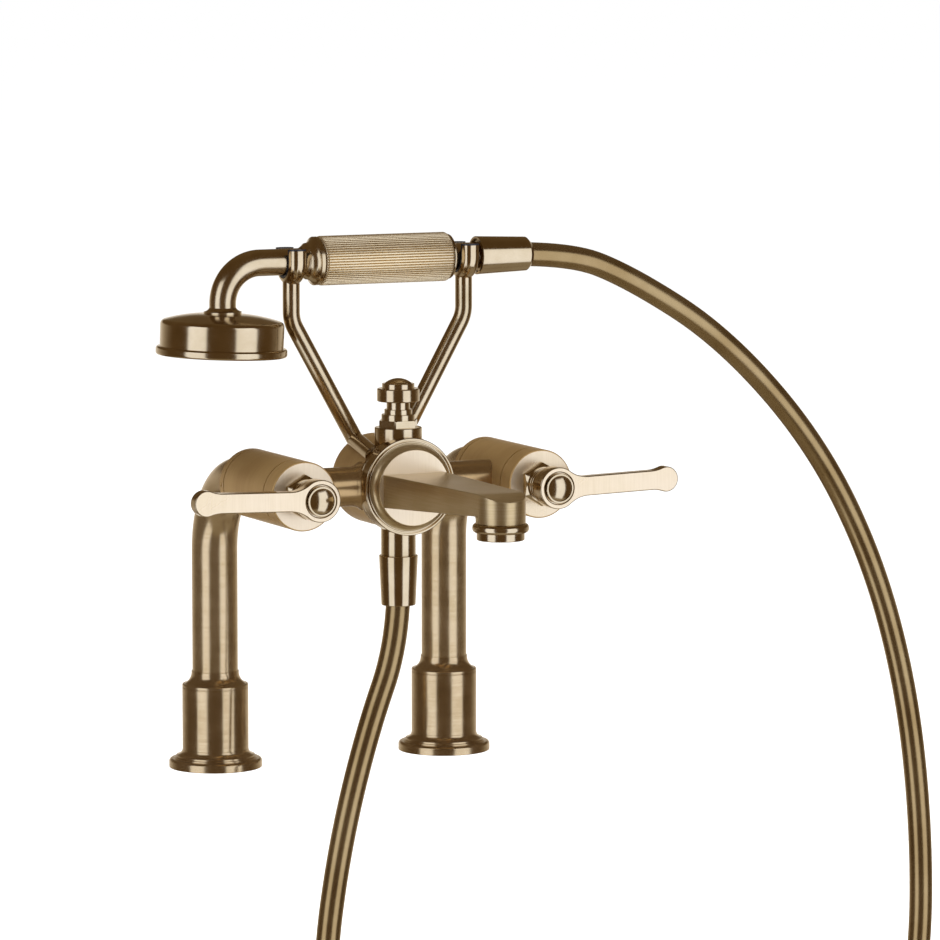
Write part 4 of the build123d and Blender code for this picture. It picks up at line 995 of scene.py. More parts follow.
@dataclass
class Valve:
    """Barrel of one side with its rings, hexagon, lever and cap."""

    side: Side
    radius: float = 20.1
    ring_start: float = 56.0
    ring_length: float = 7.0
    ring_bore: float = 13.7
    ring_chamfer: float = 1.3
    grub_radius: float = 1.2
    grub_depth: float = 3.0
    body_length: float = 59.0
    body_bore: float = 9.0
    face_ring_length: float = 13.0
    face_bore: float = 11.0
    hex_flats: float = 22.4
    hex_cone: float = 10.6
    hex_thickness: float = 4.5
    neck_radius: float = 10.3
    neck_length: float = 10.0
    neck_bore: float = 5.05
    neck_root: float = 1.0
    groove_start: float = 1.9
    groove_pitch: float = 2.4
    groove_size: float = 0.9
    groove_count: int = 3
    hub_radius: float = 12.15
    hub_length: float = 9.9
    hub_bore: float = 3.5
    recess_radius: float = 9.35
    recess_depth: float = 3.0
    lever_thickness: float = 7.0
    lever_bevel: float = 0.65
    half_height: float = 5.7
    reach: float = 69.9
    tip_radius: float = 7.4
    hub_sweep: float = 18.0
    tip_sweep: float = 20.0
    tilt: float = 1.6
    cap_radius: float = 8.65
    cap_rim: float = 1.15
    cap_rim_height: float = 0.5
    cap_stand: float = 1.4
    cap_dome: float = 2.0
    seam: float = 1.0
    seam_depth: float = 1.8

    @property
    def lathe(self) -> Lathe:
        """Axis of the barrel."""
        return forward(self.side.leg_x)

    @property
    def body_start(self) -> float:
        """Where the barrel begins."""
        return self.ring_start + self.ring_length

    @property
    def body_end(self) -> float:
        """Where the barrel ends."""
        return self.body_start + self.body_length

    @property
    def face(self) -> float:
        """Distance of the flat face in front of the legs."""
        return self.body_end + self.face_ring_length

    @property
    def hub_start(self) -> float:
        """Back of the lever's hub."""
        return self.face + FIT_GAP + self.hex_thickness + self.neck_length + RUNNING_GAP

    def union_ring(self) -> bpy.types.Mesh:
        """Ring behind the barrel with the hole of its grub screw.

        Returns:
            The finished mesh.
        """
        seam = self.body_start - self.seam / 2
        floor = self.radius - self.seam_depth
        chamfer = self.ring_chamfer
        corners = [
            (self.ring_start, self.ring_bore), (self.ring_start, self.radius - chamfer),
            (self.ring_start + chamfer, self.radius), (seam, self.radius), (seam, floor),
            (self.body_start, floor), (self.body_start, self.ring_bore),
        ]
        ring = turned("union_ring", self.lathe, corners)
        middle = self.ring_start + self.ring_length / 2
        origin = (self.side.leg_x, -middle, LAYOUT.axis_height)
        low, high = self.radius - self.grub_depth, self.radius + self.grub_depth
        hole = [(low, 0), (low, self.grub_radius), (high, self.grub_radius), (high, 0)]
        drill = Lathe(origin, (self.side.value, 0, 0), (0, 0, 1))
        tool = add_object("cutter", turned("cutter", drill, hole, 24))
        cut = ("BOOLEAN", {"operation": "DIFFERENCE", "solver": "EXACT", "object": tool})
        result = with_modifiers(ring, "union_ring_bored", cut, weighted(80))
        bpy.data.objects.remove(tool)
        return result

    def barrel(self) -> bpy.types.Mesh:
        """Plain barrel with half a seam at each end.

        Returns:
            The finished mesh.
        """
        start, end, half = self.body_start, self.body_end, self.seam / 2
        floor = self.radius - self.seam_depth
        corners = [
            (start, self.body_bore), (start, floor), (start + half, floor), (start + half, self.radius),
            (end - half, self.radius), (end - half, floor), (end, floor), (end, self.body_bore),
        ]
        return turned("barrel", self.lathe, corners)

    def face_ring(self) -> bpy.types.Mesh:
        """Front ring whose flat face is brushed.

        Returns:
            The finished mesh.
        """
        start, seam = self.body_end, self.body_end + self.seam / 2
        floor = self.radius - self.seam_depth
        corners = [
            (start, self.face_bore), (start, floor), (seam, floor), (seam, self.radius),
            (self.face, self.radius, 0.8), (self.face, self.face_bore, 0.3),
        ]
        return mark_front(turned("face_ring", self.lathe, corners, 160))

    def gland_nut(self) -> bpy.types.Mesh:
        """Hexagon with a conical front, and grooved neck.

        Returns:
            The finished mesh.
        """
        start = self.face + FIT_GAP
        end = start + self.hex_thickness
        tip = end + self.neck_length
        root, radius = end - self.neck_root, self.neck_radius
        neck = bmesh.new()
        hexagon(neck, self.lathe, self.hex_flats, (start, end), self.hex_cone, 30.0)
        corners: list[Corner] = [(root, self.neck_bore), (root, radius), (end, radius)]
        for ring in range(self.groove_count):
            middle = end + self.groove_start + ring * self.groove_pitch
            shore = self.groove_size + 0.1
            corners.append((middle - shore, radius))
            corners += arc((middle, radius), self.groove_size, pi, 2 * pi, 8)
            corners.append((middle + shore, radius))
        corners += [(tip - 1.0, radius), (tip, radius, 0.3), (tip, self.neck_bore)]
        turn(neck, self.lathe, rounded(corners), 96)
        return finish_mesh(neck, "gland_nut", 32.0)

    def hollow(self, radius: float, sweep_radius: float) -> tuple[tuple[float, float], float]:
        """Where a hollow curve leaves a round end, and how far from its middle it meets the bar.

        Args:
            radius: Radius of the round end.
            sweep_radius: Radius of the hollow curve.

        Returns:
            The point where the curve starts, and the distance of its foot.
        """
        reach = sqrt((radius + sweep_radius) ** 2 - (self.half_height + sweep_radius) ** 2)
        share = radius / (radius + sweep_radius)
        return (reach * share, (self.half_height + sweep_radius) * share), reach

    def lever_outline(self) -> Outline:
        """Outline of the lever with the hub's axis at the origin and the tip to the right.

        Returns:
            The closed outline.
        """
        hub_point, hub_reach = self.hollow(self.hub_radius, self.hub_sweep)
        tip_point, tip_reach = self.hollow(self.tip_radius, self.tip_sweep)
        upper = arc((0, 0), self.hub_radius, pi, atan2(hub_point[1], hub_point[0]), 48)
        centre = (hub_reach, self.half_height + self.hub_sweep)
        start = atan2(hub_point[1] - centre[1], hub_point[0] - centre[0])
        upper += arc(centre, self.hub_sweep, start, -pi / 2, 16)[1:]
        centre = (self.reach - tip_reach, self.half_height + self.tip_sweep)
        end = atan2(tip_point[1] - centre[1], (self.reach - tip_point[0]) - centre[0])
        upper += arc(centre, self.tip_sweep, -pi / 2, end, 12)
        tip_angle = atan2(tip_point[1], -tip_point[0])
        upper += arc((self.reach, 0), self.tip_radius, tip_angle, 0, 32)[1:]
        return upper + [(u, -v) for u, v in reversed(upper[1:-1])]

    def plate(self, front: float) -> bpy.types.Mesh:
        """Flat bar of the lever with rounded edges and the opening of the recess.

        Args:
            front: Length of the lever's front face.

        Returns:
            The finished mesh.
        """
        outline = bpy.data.curves.new("lever_plate", "CURVE")
        outline.dimensions = "2D"
        outline.fill_mode = "BOTH"
        outline.extrude = (self.lever_thickness / 2 - self.lever_bevel) * MM
        outline.bevel_depth = self.lever_bevel * MM
        outline.bevel_resolution = 2
        outline.offset = -self.lever_bevel * MM
        hole = arc((0, 0), self.recess_radius, 0, 2 * pi, 96)[:-1]
        for loop in (self.lever_outline(), hole):
            spline = outline.splines.new("POLY")
            spline.points.add(len(loop) - 1)
            for point, (u, v) in zip(spline.points, loop):
                point.co = (u * MM, v * MM, 0.0, 1.0)
            spline.use_cyclic_u = True
        mesh = plain_mesh(add_object("lever_flat", outline), "lever_plate")
        tilt = radians(self.tilt)
        leaning = Vector((self.side.value * cos(tilt), 0, sin(tilt)))
        ahead = Vector(AHEAD)
        place = Matrix((leaning, ahead.cross(leaning), ahead)).transposed().to_4x4()
        middle = front - self.lever_thickness / 2
        place.translation = Vector((self.side.leg_x, -middle, LAYOUT.axis_height)) * MM
        mesh.transform(place)
        return mesh

    def lever(self) -> bpy.types.Mesh:
        """Flat lever with its hub and the hub's recess.

        Returns:
            The finished mesh.
        """
        front = self.hub_start + self.hub_length
        joint = front - self.lever_thickness + 0.6
        floor = front - self.recess_depth
        lining = self.recess_radius + 0.5
        shape = bmesh.new()
        shape.from_mesh(self.plate(front))
        corners = [
            (self.hub_start, self.hub_bore), (self.hub_start, self.hub_radius, 0.4),
            (joint, self.hub_radius - 0.02), (joint, lining), (floor, lining), (floor, self.hub_bore),
        ]
        turn(shape, self.lathe, rounded(corners))
        return mark_front(with_modifiers(finish_mesh(shape, "lever", 40.0), "lever", weighted(90)))

    def cap(self) -> bpy.types.Mesh:
        """Domed cap with a flat rim in the hub.

        Returns:
            The finished mesh.
        """
        front = self.hub_start + self.hub_length
        back, rim = front - self.recess_depth, front + self.cap_stand
        inner = self.cap_radius - self.cap_rim
        foot = rim - self.cap_rim_height
        dome = crown(inner, self.cap_dome, foot, 14)[::-1]
        corners = [
            (foot, inner - SEAM_STEP), (rim, inner, 0.15), (rim, self.cap_radius, 0.3),
            (back, self.cap_radius), (back, 0.0),
        ]
        return turned("cap", self.lathe, dome + rounded(corners)[1:], 96, 40.0)

    def build(self, shop: Workshop) -> None:
        """Make the six pieces.

        Args:
            shop: Where the pieces are made.
        """
        word = self.side.word
        moving = f"{word}_lever_body"
        shop.fit(self.union_ring(), f"{word}_union_ring", "brass_satin", SATIN_BARREL)
        shop.fit(self.barrel(), f"{word}_valve_body", "brass_satin", SATIN_BARREL)
        shop.fit(self.face_ring(), f"{word}_valve_face_ring", "brass_brushed", SATIN_BARREL, BRUSHED_FACE)
        shop.fit(self.gland_nut(), f"{word}_gland_nut", "brass_polished", POLISHED)
        shop.fit(self.lever(), f"{word}_lever", "brass_brushed", POLISHED, BRUSHED_FACE, body=moving)
        shop.fit(self.cap(), f"{word}_lever_cap", "brass_polished", POLISHED, body=moving)


# Drum and spout


@dataclass
class Drum:
    """Mixing drum with its front ring, boss, cross pipes, spout and outlet."""

    radius: float = 26.5
    back: float = 62.0
    shoulder: float = 104.5
    front: float = 113.0
    spigot_radius: float = 24.0
    ring_front: float = 117.0
    bead_radii: tuple[float, float] = (28.2, 28.5)
    bead_gap: tuple[float, float] = (3.0, 4.0)  # in front of the drum's shoulder
    bead_gap_radius: float = 26.6
    ring_foot: float = 0.5
    ring_inner: float = 26.4
    rim_groove: tuple[float, float] = (27.2, 1.5)  # outer radius and depth
    ring_bore: float = 25.6
    boss_front: float = 122.5
    boss_radius: float = 22.4
    boss_rim: float = 25.5
    boss_land: float = 1.0
    pipe_radius: float = 11.5
    pipe_start: float = 14.0
    pipe_flare: float = 2.6
    pipe_flare_length: float = 6.5
    pipe_root: float = 6.0
    spout_reach: float = 239.0
    root_half_width: float = 19.6
    tip_radius: float = 14.1
    root_top: float = 8.5
    root_bottom: float = 10.7
    bend_top: float = 9.5
    nose_top: float = 5.8
    nose_bulge: float = 1.1
    nose_underside: float = 2.25
    top_rounding: float = 0.7
    mouth: float = 7.4
    side_steps: int = 24
    nose_steps: int = 36
    back_steps: int = 48
    bead_radius: float = 16.0
    bead_height: float = 5.2
    outlet_radius: float = 13.5
    outlet_depth: float = 9.4
    outlet_bore: float = 9.6
    outlet_thread: tuple[float, float] = (5.0, 11.3)

    def body(self) -> bpy.types.Mesh:
        """Drum itself."""
        corners = [
            (self.back, 0), (self.back, self.radius, 1.6), (self.shoulder, self.radius),
            (self.shoulder, self.spigot_radius), (self.front, self.spigot_radius), (self.front, 0),
        ]
        return turned("drum", forward(0), corners, 192)

    def ring(self) -> bpy.types.Mesh:
        """Double-beaded ring with a fine groove between the front bead and the rim.

        Returns:
            The finished mesh.
        """
        foot = self.shoulder + self.ring_foot
        bore, inner, top = self.spigot_radius + FIT_GAP, self.ring_inner, self.ring_front
        back_bead, front_bead = self.bead_radii
        gap_start, gap_end = (self.shoulder + distance for distance in self.bead_gap)
        rim, depth = self.rim_groove
        corners = [
            (self.shoulder, bore), (self.shoulder, inner), (foot, inner), (foot, back_bead, 0.6),
            (gap_start, back_bead, 0.6), (gap_start, self.bead_gap_radius), (gap_end, self.bead_gap_radius),
            (gap_end, front_bead, 1.0), (top, front_bead, 1.1), (top, rim, 0.15), (top - depth, rim),
            (top - depth, inner), (top, inner, 0.35), (top, self.ring_bore, 0.2),
            (self.front, self.ring_bore), (self.front, bore),
        ]
        return turned("front_ring", forward(0), corners, 192)

    def boss(self) -> bpy.types.Mesh:
        """Raised boss with a coved edge and a brushed face.

        Returns:
            The finished mesh.
        """
        land = self.boss_front - self.boss_land
        cove = bow((self.ring_front, self.boss_rim), (land, self.boss_radius), -1.0, 12)
        corners = [
            (land, self.boss_radius + SEAM_STEP), (self.boss_front, self.boss_radius, 0.55),
            (self.boss_front, 0), (self.front, 0), (self.front, self.boss_rim),
        ]
        return mark_front(turned("boss", forward(0), cove + rounded(corners)[1:], 192, 30.0))

    def cross_pipe(self, side: Side) -> bpy.types.Mesh:
        """Pipe from a barrel to the drum with its flare.

        Args:
            side: Which pipe.

        Returns:
            The finished mesh.
        """
        lathe = Lathe((side.leg_x, -LAYOUT.body_line, LAYOUT.axis_height), (-side.value, 0, 0), (0, 0, 1))
        end = LAYOUT.leg_pitch / 2 - self.radius + self.pipe_flare
        start = (end - self.pipe_flare_length, self.pipe_radius)
        wide = self.pipe_radius + self.pipe_flare
        corners = [
            (self.pipe_start, 0.0), (self.pipe_start, self.pipe_radius), (start[0] - 0.3, self.pipe_radius),
            *bow(start, (end, wide), -0.55), (end + self.pipe_root, wide), (end + self.pipe_root, 0.0),
        ]
        return turned("cross_pipe", lathe, corners)

    def top_at(self, distance: float) -> float:
        """Height of the spout's top above the axis.

        Args:
            distance: Distance in front of the legs.

        Returns:
            The height, which falls off over the nose.
        """
        bend = self.spout_reach - self.tip_radius / 4
        if distance <= bend:
            share = (distance - self.boss_front) / (bend - self.boss_front)
            return self.root_top + (self.bend_top - self.root_top) * share
        share = (distance - bend) / (self.spout_reach + self.tip_radius - bend)
        line = self.bend_top + (self.nose_top - self.bend_top) * share
        return line + 4 * self.nose_bulge * share * (1 - share)

    def underside_at(self, distance: float) -> float:
        """Height of the spout's underside above the axis, a negative number.

        Args:
            distance: Distance in front of the legs.

        Returns:
            The height.
        """
        span = self.spout_reach + self.tip_radius - self.boss_front
        rise = self.root_bottom - self.nose_underside
        return -self.root_bottom + rise * (distance - self.boss_front) / span

    def stations(self) -> list[tuple[float, float, float, float]]:
        """Half width, distance and outward direction along one side of the spout and round its nose.

        Returns:
            One row for each station, from the boss to the tip.
        """
        length = self.spout_reach - self.boss_front
        taper = self.root_half_width - self.tip_radius
        lean = atan2(taper, length)
        rows = []
        for k in range(self.side_steps):
            share = k / self.side_steps
            rows.append(
                (self.root_half_width - taper * share, self.boss_front + length * share, cos(lean), sin(lean))
            )
        for across, ahead in arc((0, 0), 1.0, 0, pi / 2, self.nose_steps):
            rows.append((self.tip_radius * across, self.spout_reach + self.tip_radius * ahead, across, ahead))
        return rows

    def section_at(self, distance: float, bottom: float) -> Outline:
        """Inset and level of the spout's side from its underside to its top.

        Args:
            distance: Distance in front of the legs.
            bottom: Level of the underside.

        Returns:
            The points as (inset, level).
        """
        rounding = self.top_rounding
        top = self.top_at(distance)
        levels = [(0.3, bottom), (0.09, bottom + 0.09), (0.0, bottom + 0.3), (0.0, top - rounding - 0.12)]
        levels += [(rounding - u, top - rounding + v) for u, v in arc((0, 0), rounding, 0, pi / 2, 5)]
        return [*levels, (rounding + 0.15, top)]

    def column(self, shape: bmesh.types.BMesh, hand: int, station: Corner, bottom: float) -> list[Any]:
        """Points of one side of the spout at a station, from the underside to the top.

        Args:
            shape: The shape that gets the points.
            hand: Minus one to the left, one to the right.
            station: Half width, distance and outward direction.
            bottom: Level of the underside.

        Returns:
            The points.
        """
        half, distance, out_x, out_y = station
        top = self.top_at(distance)
        points = []
        for inset, level in self.section_at(distance, bottom):
            across = max(0.0, half - inset * out_x)
            ahead = distance - inset * out_y
            if level > 0 and inset > 0:
                level += self.top_at(ahead) - top
            points.append(shape.verts.new(Vector((hand * across, -ahead, LAYOUT.axis_height + level)) * MM))
        return points

    def back_of_nose(self, shape: bmesh.types.BMesh) -> None:
        """Add the round back of the outlet under the spout, flared where it meets the underside.

        Args:
            shape: The shape that gets the faces.
        """
        rows = []
        for k in range(self.back_steps + 1):
            angle = pi * k / self.back_steps
            flare = sin(angle) ** 0.5 if 0 < k < self.back_steps else 0.0
            foot = self.underside_at(self.spout_reach - self.tip_radius * sin(angle))
            row = []
            for level, extra in (
                (-self.mouth, -0.3), (-self.mouth + 0.3, 0.0), (foot - 1.6, 0.0), (foot - 1.0, 0.12),
                (foot - 0.5, 0.45), (foot - 0.15, 1.0), (foot + 0.4, 1.9),
            ):
                radius = self.tip_radius + (extra * flare if extra > 0 else extra)
                ahead = self.spout_reach - radius * sin(angle)
                spot = Vector((radius * cos(angle), -ahead, LAYOUT.axis_height + level))
                row.append(shape.verts.new(spot * MM))
            rows.append(row)
        bridge(shape, rows, closed=False, ends=False)
        shape.faces.new([row[0] for row in rows])
        shape.faces.new([row[-1] for row in reversed(rows)])

    def spout(self) -> bpy.types.Mesh:
        """Flat tapering spout with a round tip.

        Returns:
            The finished mesh.
        """
        stations = self.stations()
        shape = bmesh.new()
        columns = {}
        for hand in (-1, 1):
            columns[hand] = []
            for index, station in enumerate(stations):
                bottom = self.underside_at(station[1]) if index <= self.side_steps else -self.mouth
                columns[hand].append(self.column(shape, hand, station, bottom))
        left, right = columns[-1], columns[1]
        bridge(shape, left, closed=False, ends=False)
        bridge(shape, right, closed=False, ends=False)
        for end in (0, -1):
            for index in range(len(left) - 1):
                if end == 0 and index == self.side_steps:
                    continue
                shape.faces.new(
                    (left[index][end], left[index + 1][end], right[index + 1][end], right[index][end])
                )
        bridge(shape, (left[0], right[0]), closed=False, ends=False)
        bmesh.ops.remove_doubles(shape, verts=shape.verts, dist=1e-7)
        self.back_of_nose(shape)
        return finish_mesh(shape, "spout", 40.0)

    def aerator(self) -> bpy.types.Mesh:
        """Bead and ring of the outlet.

        Returns:
            The finished mesh.
        """
        top = LAYOUT.axis_height - self.mouth
        thread, core = self.outlet_thread
        bead, foot = top - self.bead_height, top - self.outlet_depth
        corners = [
            (top + thread, self.outlet_bore), (top + thread, core), (top, core), (top, self.bead_radius, 2.3),
            (bead, self.bead_radius, 2.3), (bead, self.outlet_radius), (foot, self.outlet_radius, 0.6),
            (foot, self.outlet_bore, 0.3),
        ]
        return turned("aerator", upright(0, -self.spout_reach), corners)

    def build(self, shop: Workshop) -> None:
        """Make the seven pieces and dress the insert.

        Args:
            shop: Where the pieces are made.
        """
        shop.fit(self.body(), "mixing_drum", "brass_satin", SATIN_BARREL)
        shop.fit(self.ring(), "drum_front_ring", "brass_satin", POLISHED)
        shop.fit(self.boss(), "spout_boss", "brass_brushed", SATIN_SPOUT, BRUSHED_FACE)
        for side in Side:
            shop.fit(self.cross_pipe(side), f"{side.word}_cross_pipe", "brass_satin", SATIN_PIPE)
        shop.fit(self.spout(), "spout", "brass_satin", SATIN_SPOUT)
        shop.fit(self.aerator(), "aerator_housing", "brass_satin", POLISHED)
        shop.dress(AERATOR_POM, "aerator_insert")


# Diverter


@dataclass
class Diverter:
    """Collar, bonnet and pull-up knob on the drum, lengths counted from the barrels' axis."""

    collar_foot: float = 18.0
    collar_radius: float = 13.85
    collar_top: float = 33.4
    bore: float = 9.8
    seat: float = 22.9
    seat_bore: float = 6.0
    flats: float = 21.0
    hex_height: float = 4.1
    hex_cone: float = 1.2  # beyond half the width over the flats
    steps: tuple[tuple[float, float], ...] = ((9.8, 3.5), (8.15, 2.9), (6.8, 4.2))
    knob_radius: float = 12.4
    knob_bore: float = 3.45
    knob_bore_depth: float = 5.0
    skirt: float = 7.6
    step_radius: float = 9.45
    step_height: float = 2.9
    dome_radius: float = 8.1
    dome_height: float = 3.0

    def collar(self) -> bpy.types.Mesh:
        """Round collar that grows out of the drum, bored for the piston.

        Returns:
            The finished mesh.
        """
        foot, top = self.collar_foot, self.collar_top
        corners = [
            (foot, self.bore), (foot, self.collar_radius), (top, self.collar_radius, 0.6),
            (top, self.seat_bore), (self.seat, self.seat_bore), (self.seat, self.bore),
        ]
        return turned("collar", DRUM_LATHE, corners)

    def bonnet(self) -> bpy.types.Mesh:
        """Hexagon and turned steps.

        Returns:
            The finished mesh.
        """
        stack = bmesh.new()
        level = self.collar_top + self.hex_height
        cone = self.flats / 2 + self.hex_cone
        hexagon(stack, DRUM_LATHE, self.flats, (self.collar_top, level), cone, 0.0)
        foot = self.collar_top + 1.0
        corners: list[Corner] = [(foot, 0.0), (foot, self.steps[0][0])]
        for index, (radius, height) in enumerate(self.steps):
            if index:
                corners.append((level, radius))
            level += height
            corners.append((level, radius, 0.35))
        corners.append((level, 0.0))
        turn(stack, DRUM_LATHE, rounded(corners), 96)
        return finish_mesh(stack, "bonnet", 32.0)

    def knob(self) -> bpy.types.Mesh:
        """Skirt, step and dome.

        Returns:
            The finished mesh.
        """
        foot = self.collar_top + self.hex_height + sum(height for _, height in self.steps) + RUNNING_GAP
        skirt_top = foot + self.skirt
        step_top = skirt_top + self.step_height
        bore_top = foot + self.knob_bore_depth
        corners = [
            (foot, self.knob_bore), (foot, self.knob_radius, 0.7), (skirt_top, self.knob_radius, 0.8),
            (skirt_top, self.step_radius), (step_top, self.step_radius, 0.4),
            (step_top, self.dome_radius + SEAM_STEP),
            *crown(self.dome_radius, self.dome_height, step_top, 12),
            (bore_top, 0.0), (bore_top, self.knob_bore),
        ]
        return turned("knob", DRUM_LATHE, corners, sharp=32.0)

    def build(self, shop: Workshop) -> None:
        """Make the three pieces.

        Args:
            shop: Where the pieces are made.
        """
        shop.fit(self.collar(), "diverter_base", "brass_polished", POLISHED)
        shop.fit(self.bonnet(), "diverter_bonnet", "brass_polished", POLISHED)
        shop.fit(self.knob(), "diverter_knob", "brass_polished", POLISHED, body="diverter")


# Hose


@dataclass
class HoseLine:
    """Outlet under the drum, the two nuts and the hose between them."""

    radius: float = 7.15
    length: float = 1500.0
    outlet_root: float = 19.5
    outlet_radius: float = 10.15
    outlet_shoulder: float = 41.3
    thread_radius: float = 9.9
    thread_length: float = 14.1
    nut_bore: float = 10.0
    hose_bore: float = 7.5
    mouth_radius: float = 11.4
    tail_radius: float = 10.05
    nut_length: float = 29.4
    nut_step: float = 11.3
    sleeve_start: float = 63.1
    sleeve_end: float = 97.5
    sleeve_step: float = 13.0
    sleeve_mouth: float = 11.3
    sleeve_tail: float = 10.0
    sleeve_cone: tuple[float, float] = (2.4, 2.16)  # length and drop
    route: tuple[tuple[float, float, float], ...] = (
        (77.0, -71.0, 306.0),
        (123.0, -71.0, 306.0),
        (165.0, -71.0, 289.8),
        (227.7, -71.4, 251.6),
        (289.3, -72.4, 186.9),
        (329.8, -74.0, 113.0),
        (353.8, -76.0, 31.2),
        (364.1, -78.4, -57.3),
        (362.8, -81.0, -144.3),
        (341.3, -83.8, -225.8),
        (294.0, -86.7, -296.1),
        (223.3, -89.5, -342.7),
        (139.5, -92.1, -355.1),
        (58.6, -94.5, -329.9),
        (-4.1, -96.5, -273.1),
        (-40.0, -98.1, -196.4),
        (-48.8, -99.1, -112.2),
        (-38.5, -99.5, -37.5),
        (-20.5, -99.5, 30.8),
        (0.0, -99.5, 84.1),
        (0.0, -99.5, 119.1),
    )

    def hose(self) -> None:
        """Make the hose as one smooth curve."""
        line = bpy.data.curves.new("shower_hose_line", "CURVE")
        line.dimensions = "3D"
        line.bevel_depth = self.radius * MM
        line.bevel_resolution = 12
        line.resolution_u = 12
        line.use_fill_caps = True
        spline = line.splines.new("NURBS")
        spline.points.add(len(self.route) - 1)
        for point, place in zip(spline.points, self.route):
            point.co = (place[0] * MM, place[1] * MM, place[2] * MM, 1.0)
        spline.order_u = 3
        spline.use_endpoint_u = True
        spline.use_smooth = True
        line.materials.append(HOSE_SKIN.material())
        piece = add_object("shower_hose_line", line)
        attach(piece, "mixer")
        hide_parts("shower_hose")
        log.info("shower_hose_line: hose of %.0f mm", self.length)

    def outlet(self) -> bpy.types.Mesh:
        """Spigot under the drum.

        Returns:
            The finished mesh.
        """
        shoulder = -self.outlet_shoulder
        foot = shoulder - self.thread_length
        corners = [
            (-self.outlet_root, 0), (-self.outlet_root, self.outlet_radius),
            (shoulder, self.outlet_radius, 0.2), (shoulder, self.thread_radius),
            (foot, self.thread_radius), (foot, 0),
        ]
        return turned("outlet", DRUM_LATHE, corners)

    def lower_nut(self) -> bpy.types.Mesh:
        """Tapered nut under the outlet.

        Returns:
            The finished mesh.
        """
        top = -self.outlet_shoulder - RUNNING_GAP
        foot = top - self.nut_length
        step = foot + self.nut_step
        corners = [
            (top, self.nut_bore), (top, self.mouth_radius, 0.5), (foot, self.tail_radius, 0.6),
            (foot, self.hose_bore), (step, self.hose_bore), (step, self.nut_bore),
        ]
        return turned("lower_nut", DRUM_LATHE, corners)

    def sleeve(self) -> bpy.types.Mesh:
        """Tapered sleeve nut on the handset.

        Returns:
            The finished mesh.
        """
        start, end = self.sleeve_start, self.sleeve_end
        slope = (self.sleeve_tail - self.sleeve_mouth) / (end - start)
        cone, drop = self.sleeve_cone
        step = end - self.sleeve_step
        corners = [
            (start, self.nut_bore), (start, self.sleeve_mouth, 0.35),
            (end - cone, self.sleeve_tail - cone * slope, 0.5), (end, self.sleeve_tail - drop, 0.3),
            (end, self.hose_bore), (step, self.hose_bore), (step, self.nut_bore),
        ]
        return turned("sleeve", HANDSET_LATHE, corners)

    def build(self, shop: Workshop) -> None:
        """Make the outlet and both nuts.

        Args:
            shop: Where the pieces are made.
        """
        shop.fit(self.outlet(), "hose_outlet", "brass_polished", POLISHED)
        shop.fit(self.lower_nut(), "lower_hose_nut", "brass_polished", POLISHED)
        shop.fit(self.sleeve(), "handset_hose_nut", "brass_polished", POLISHED, body="handset")


# Cradle


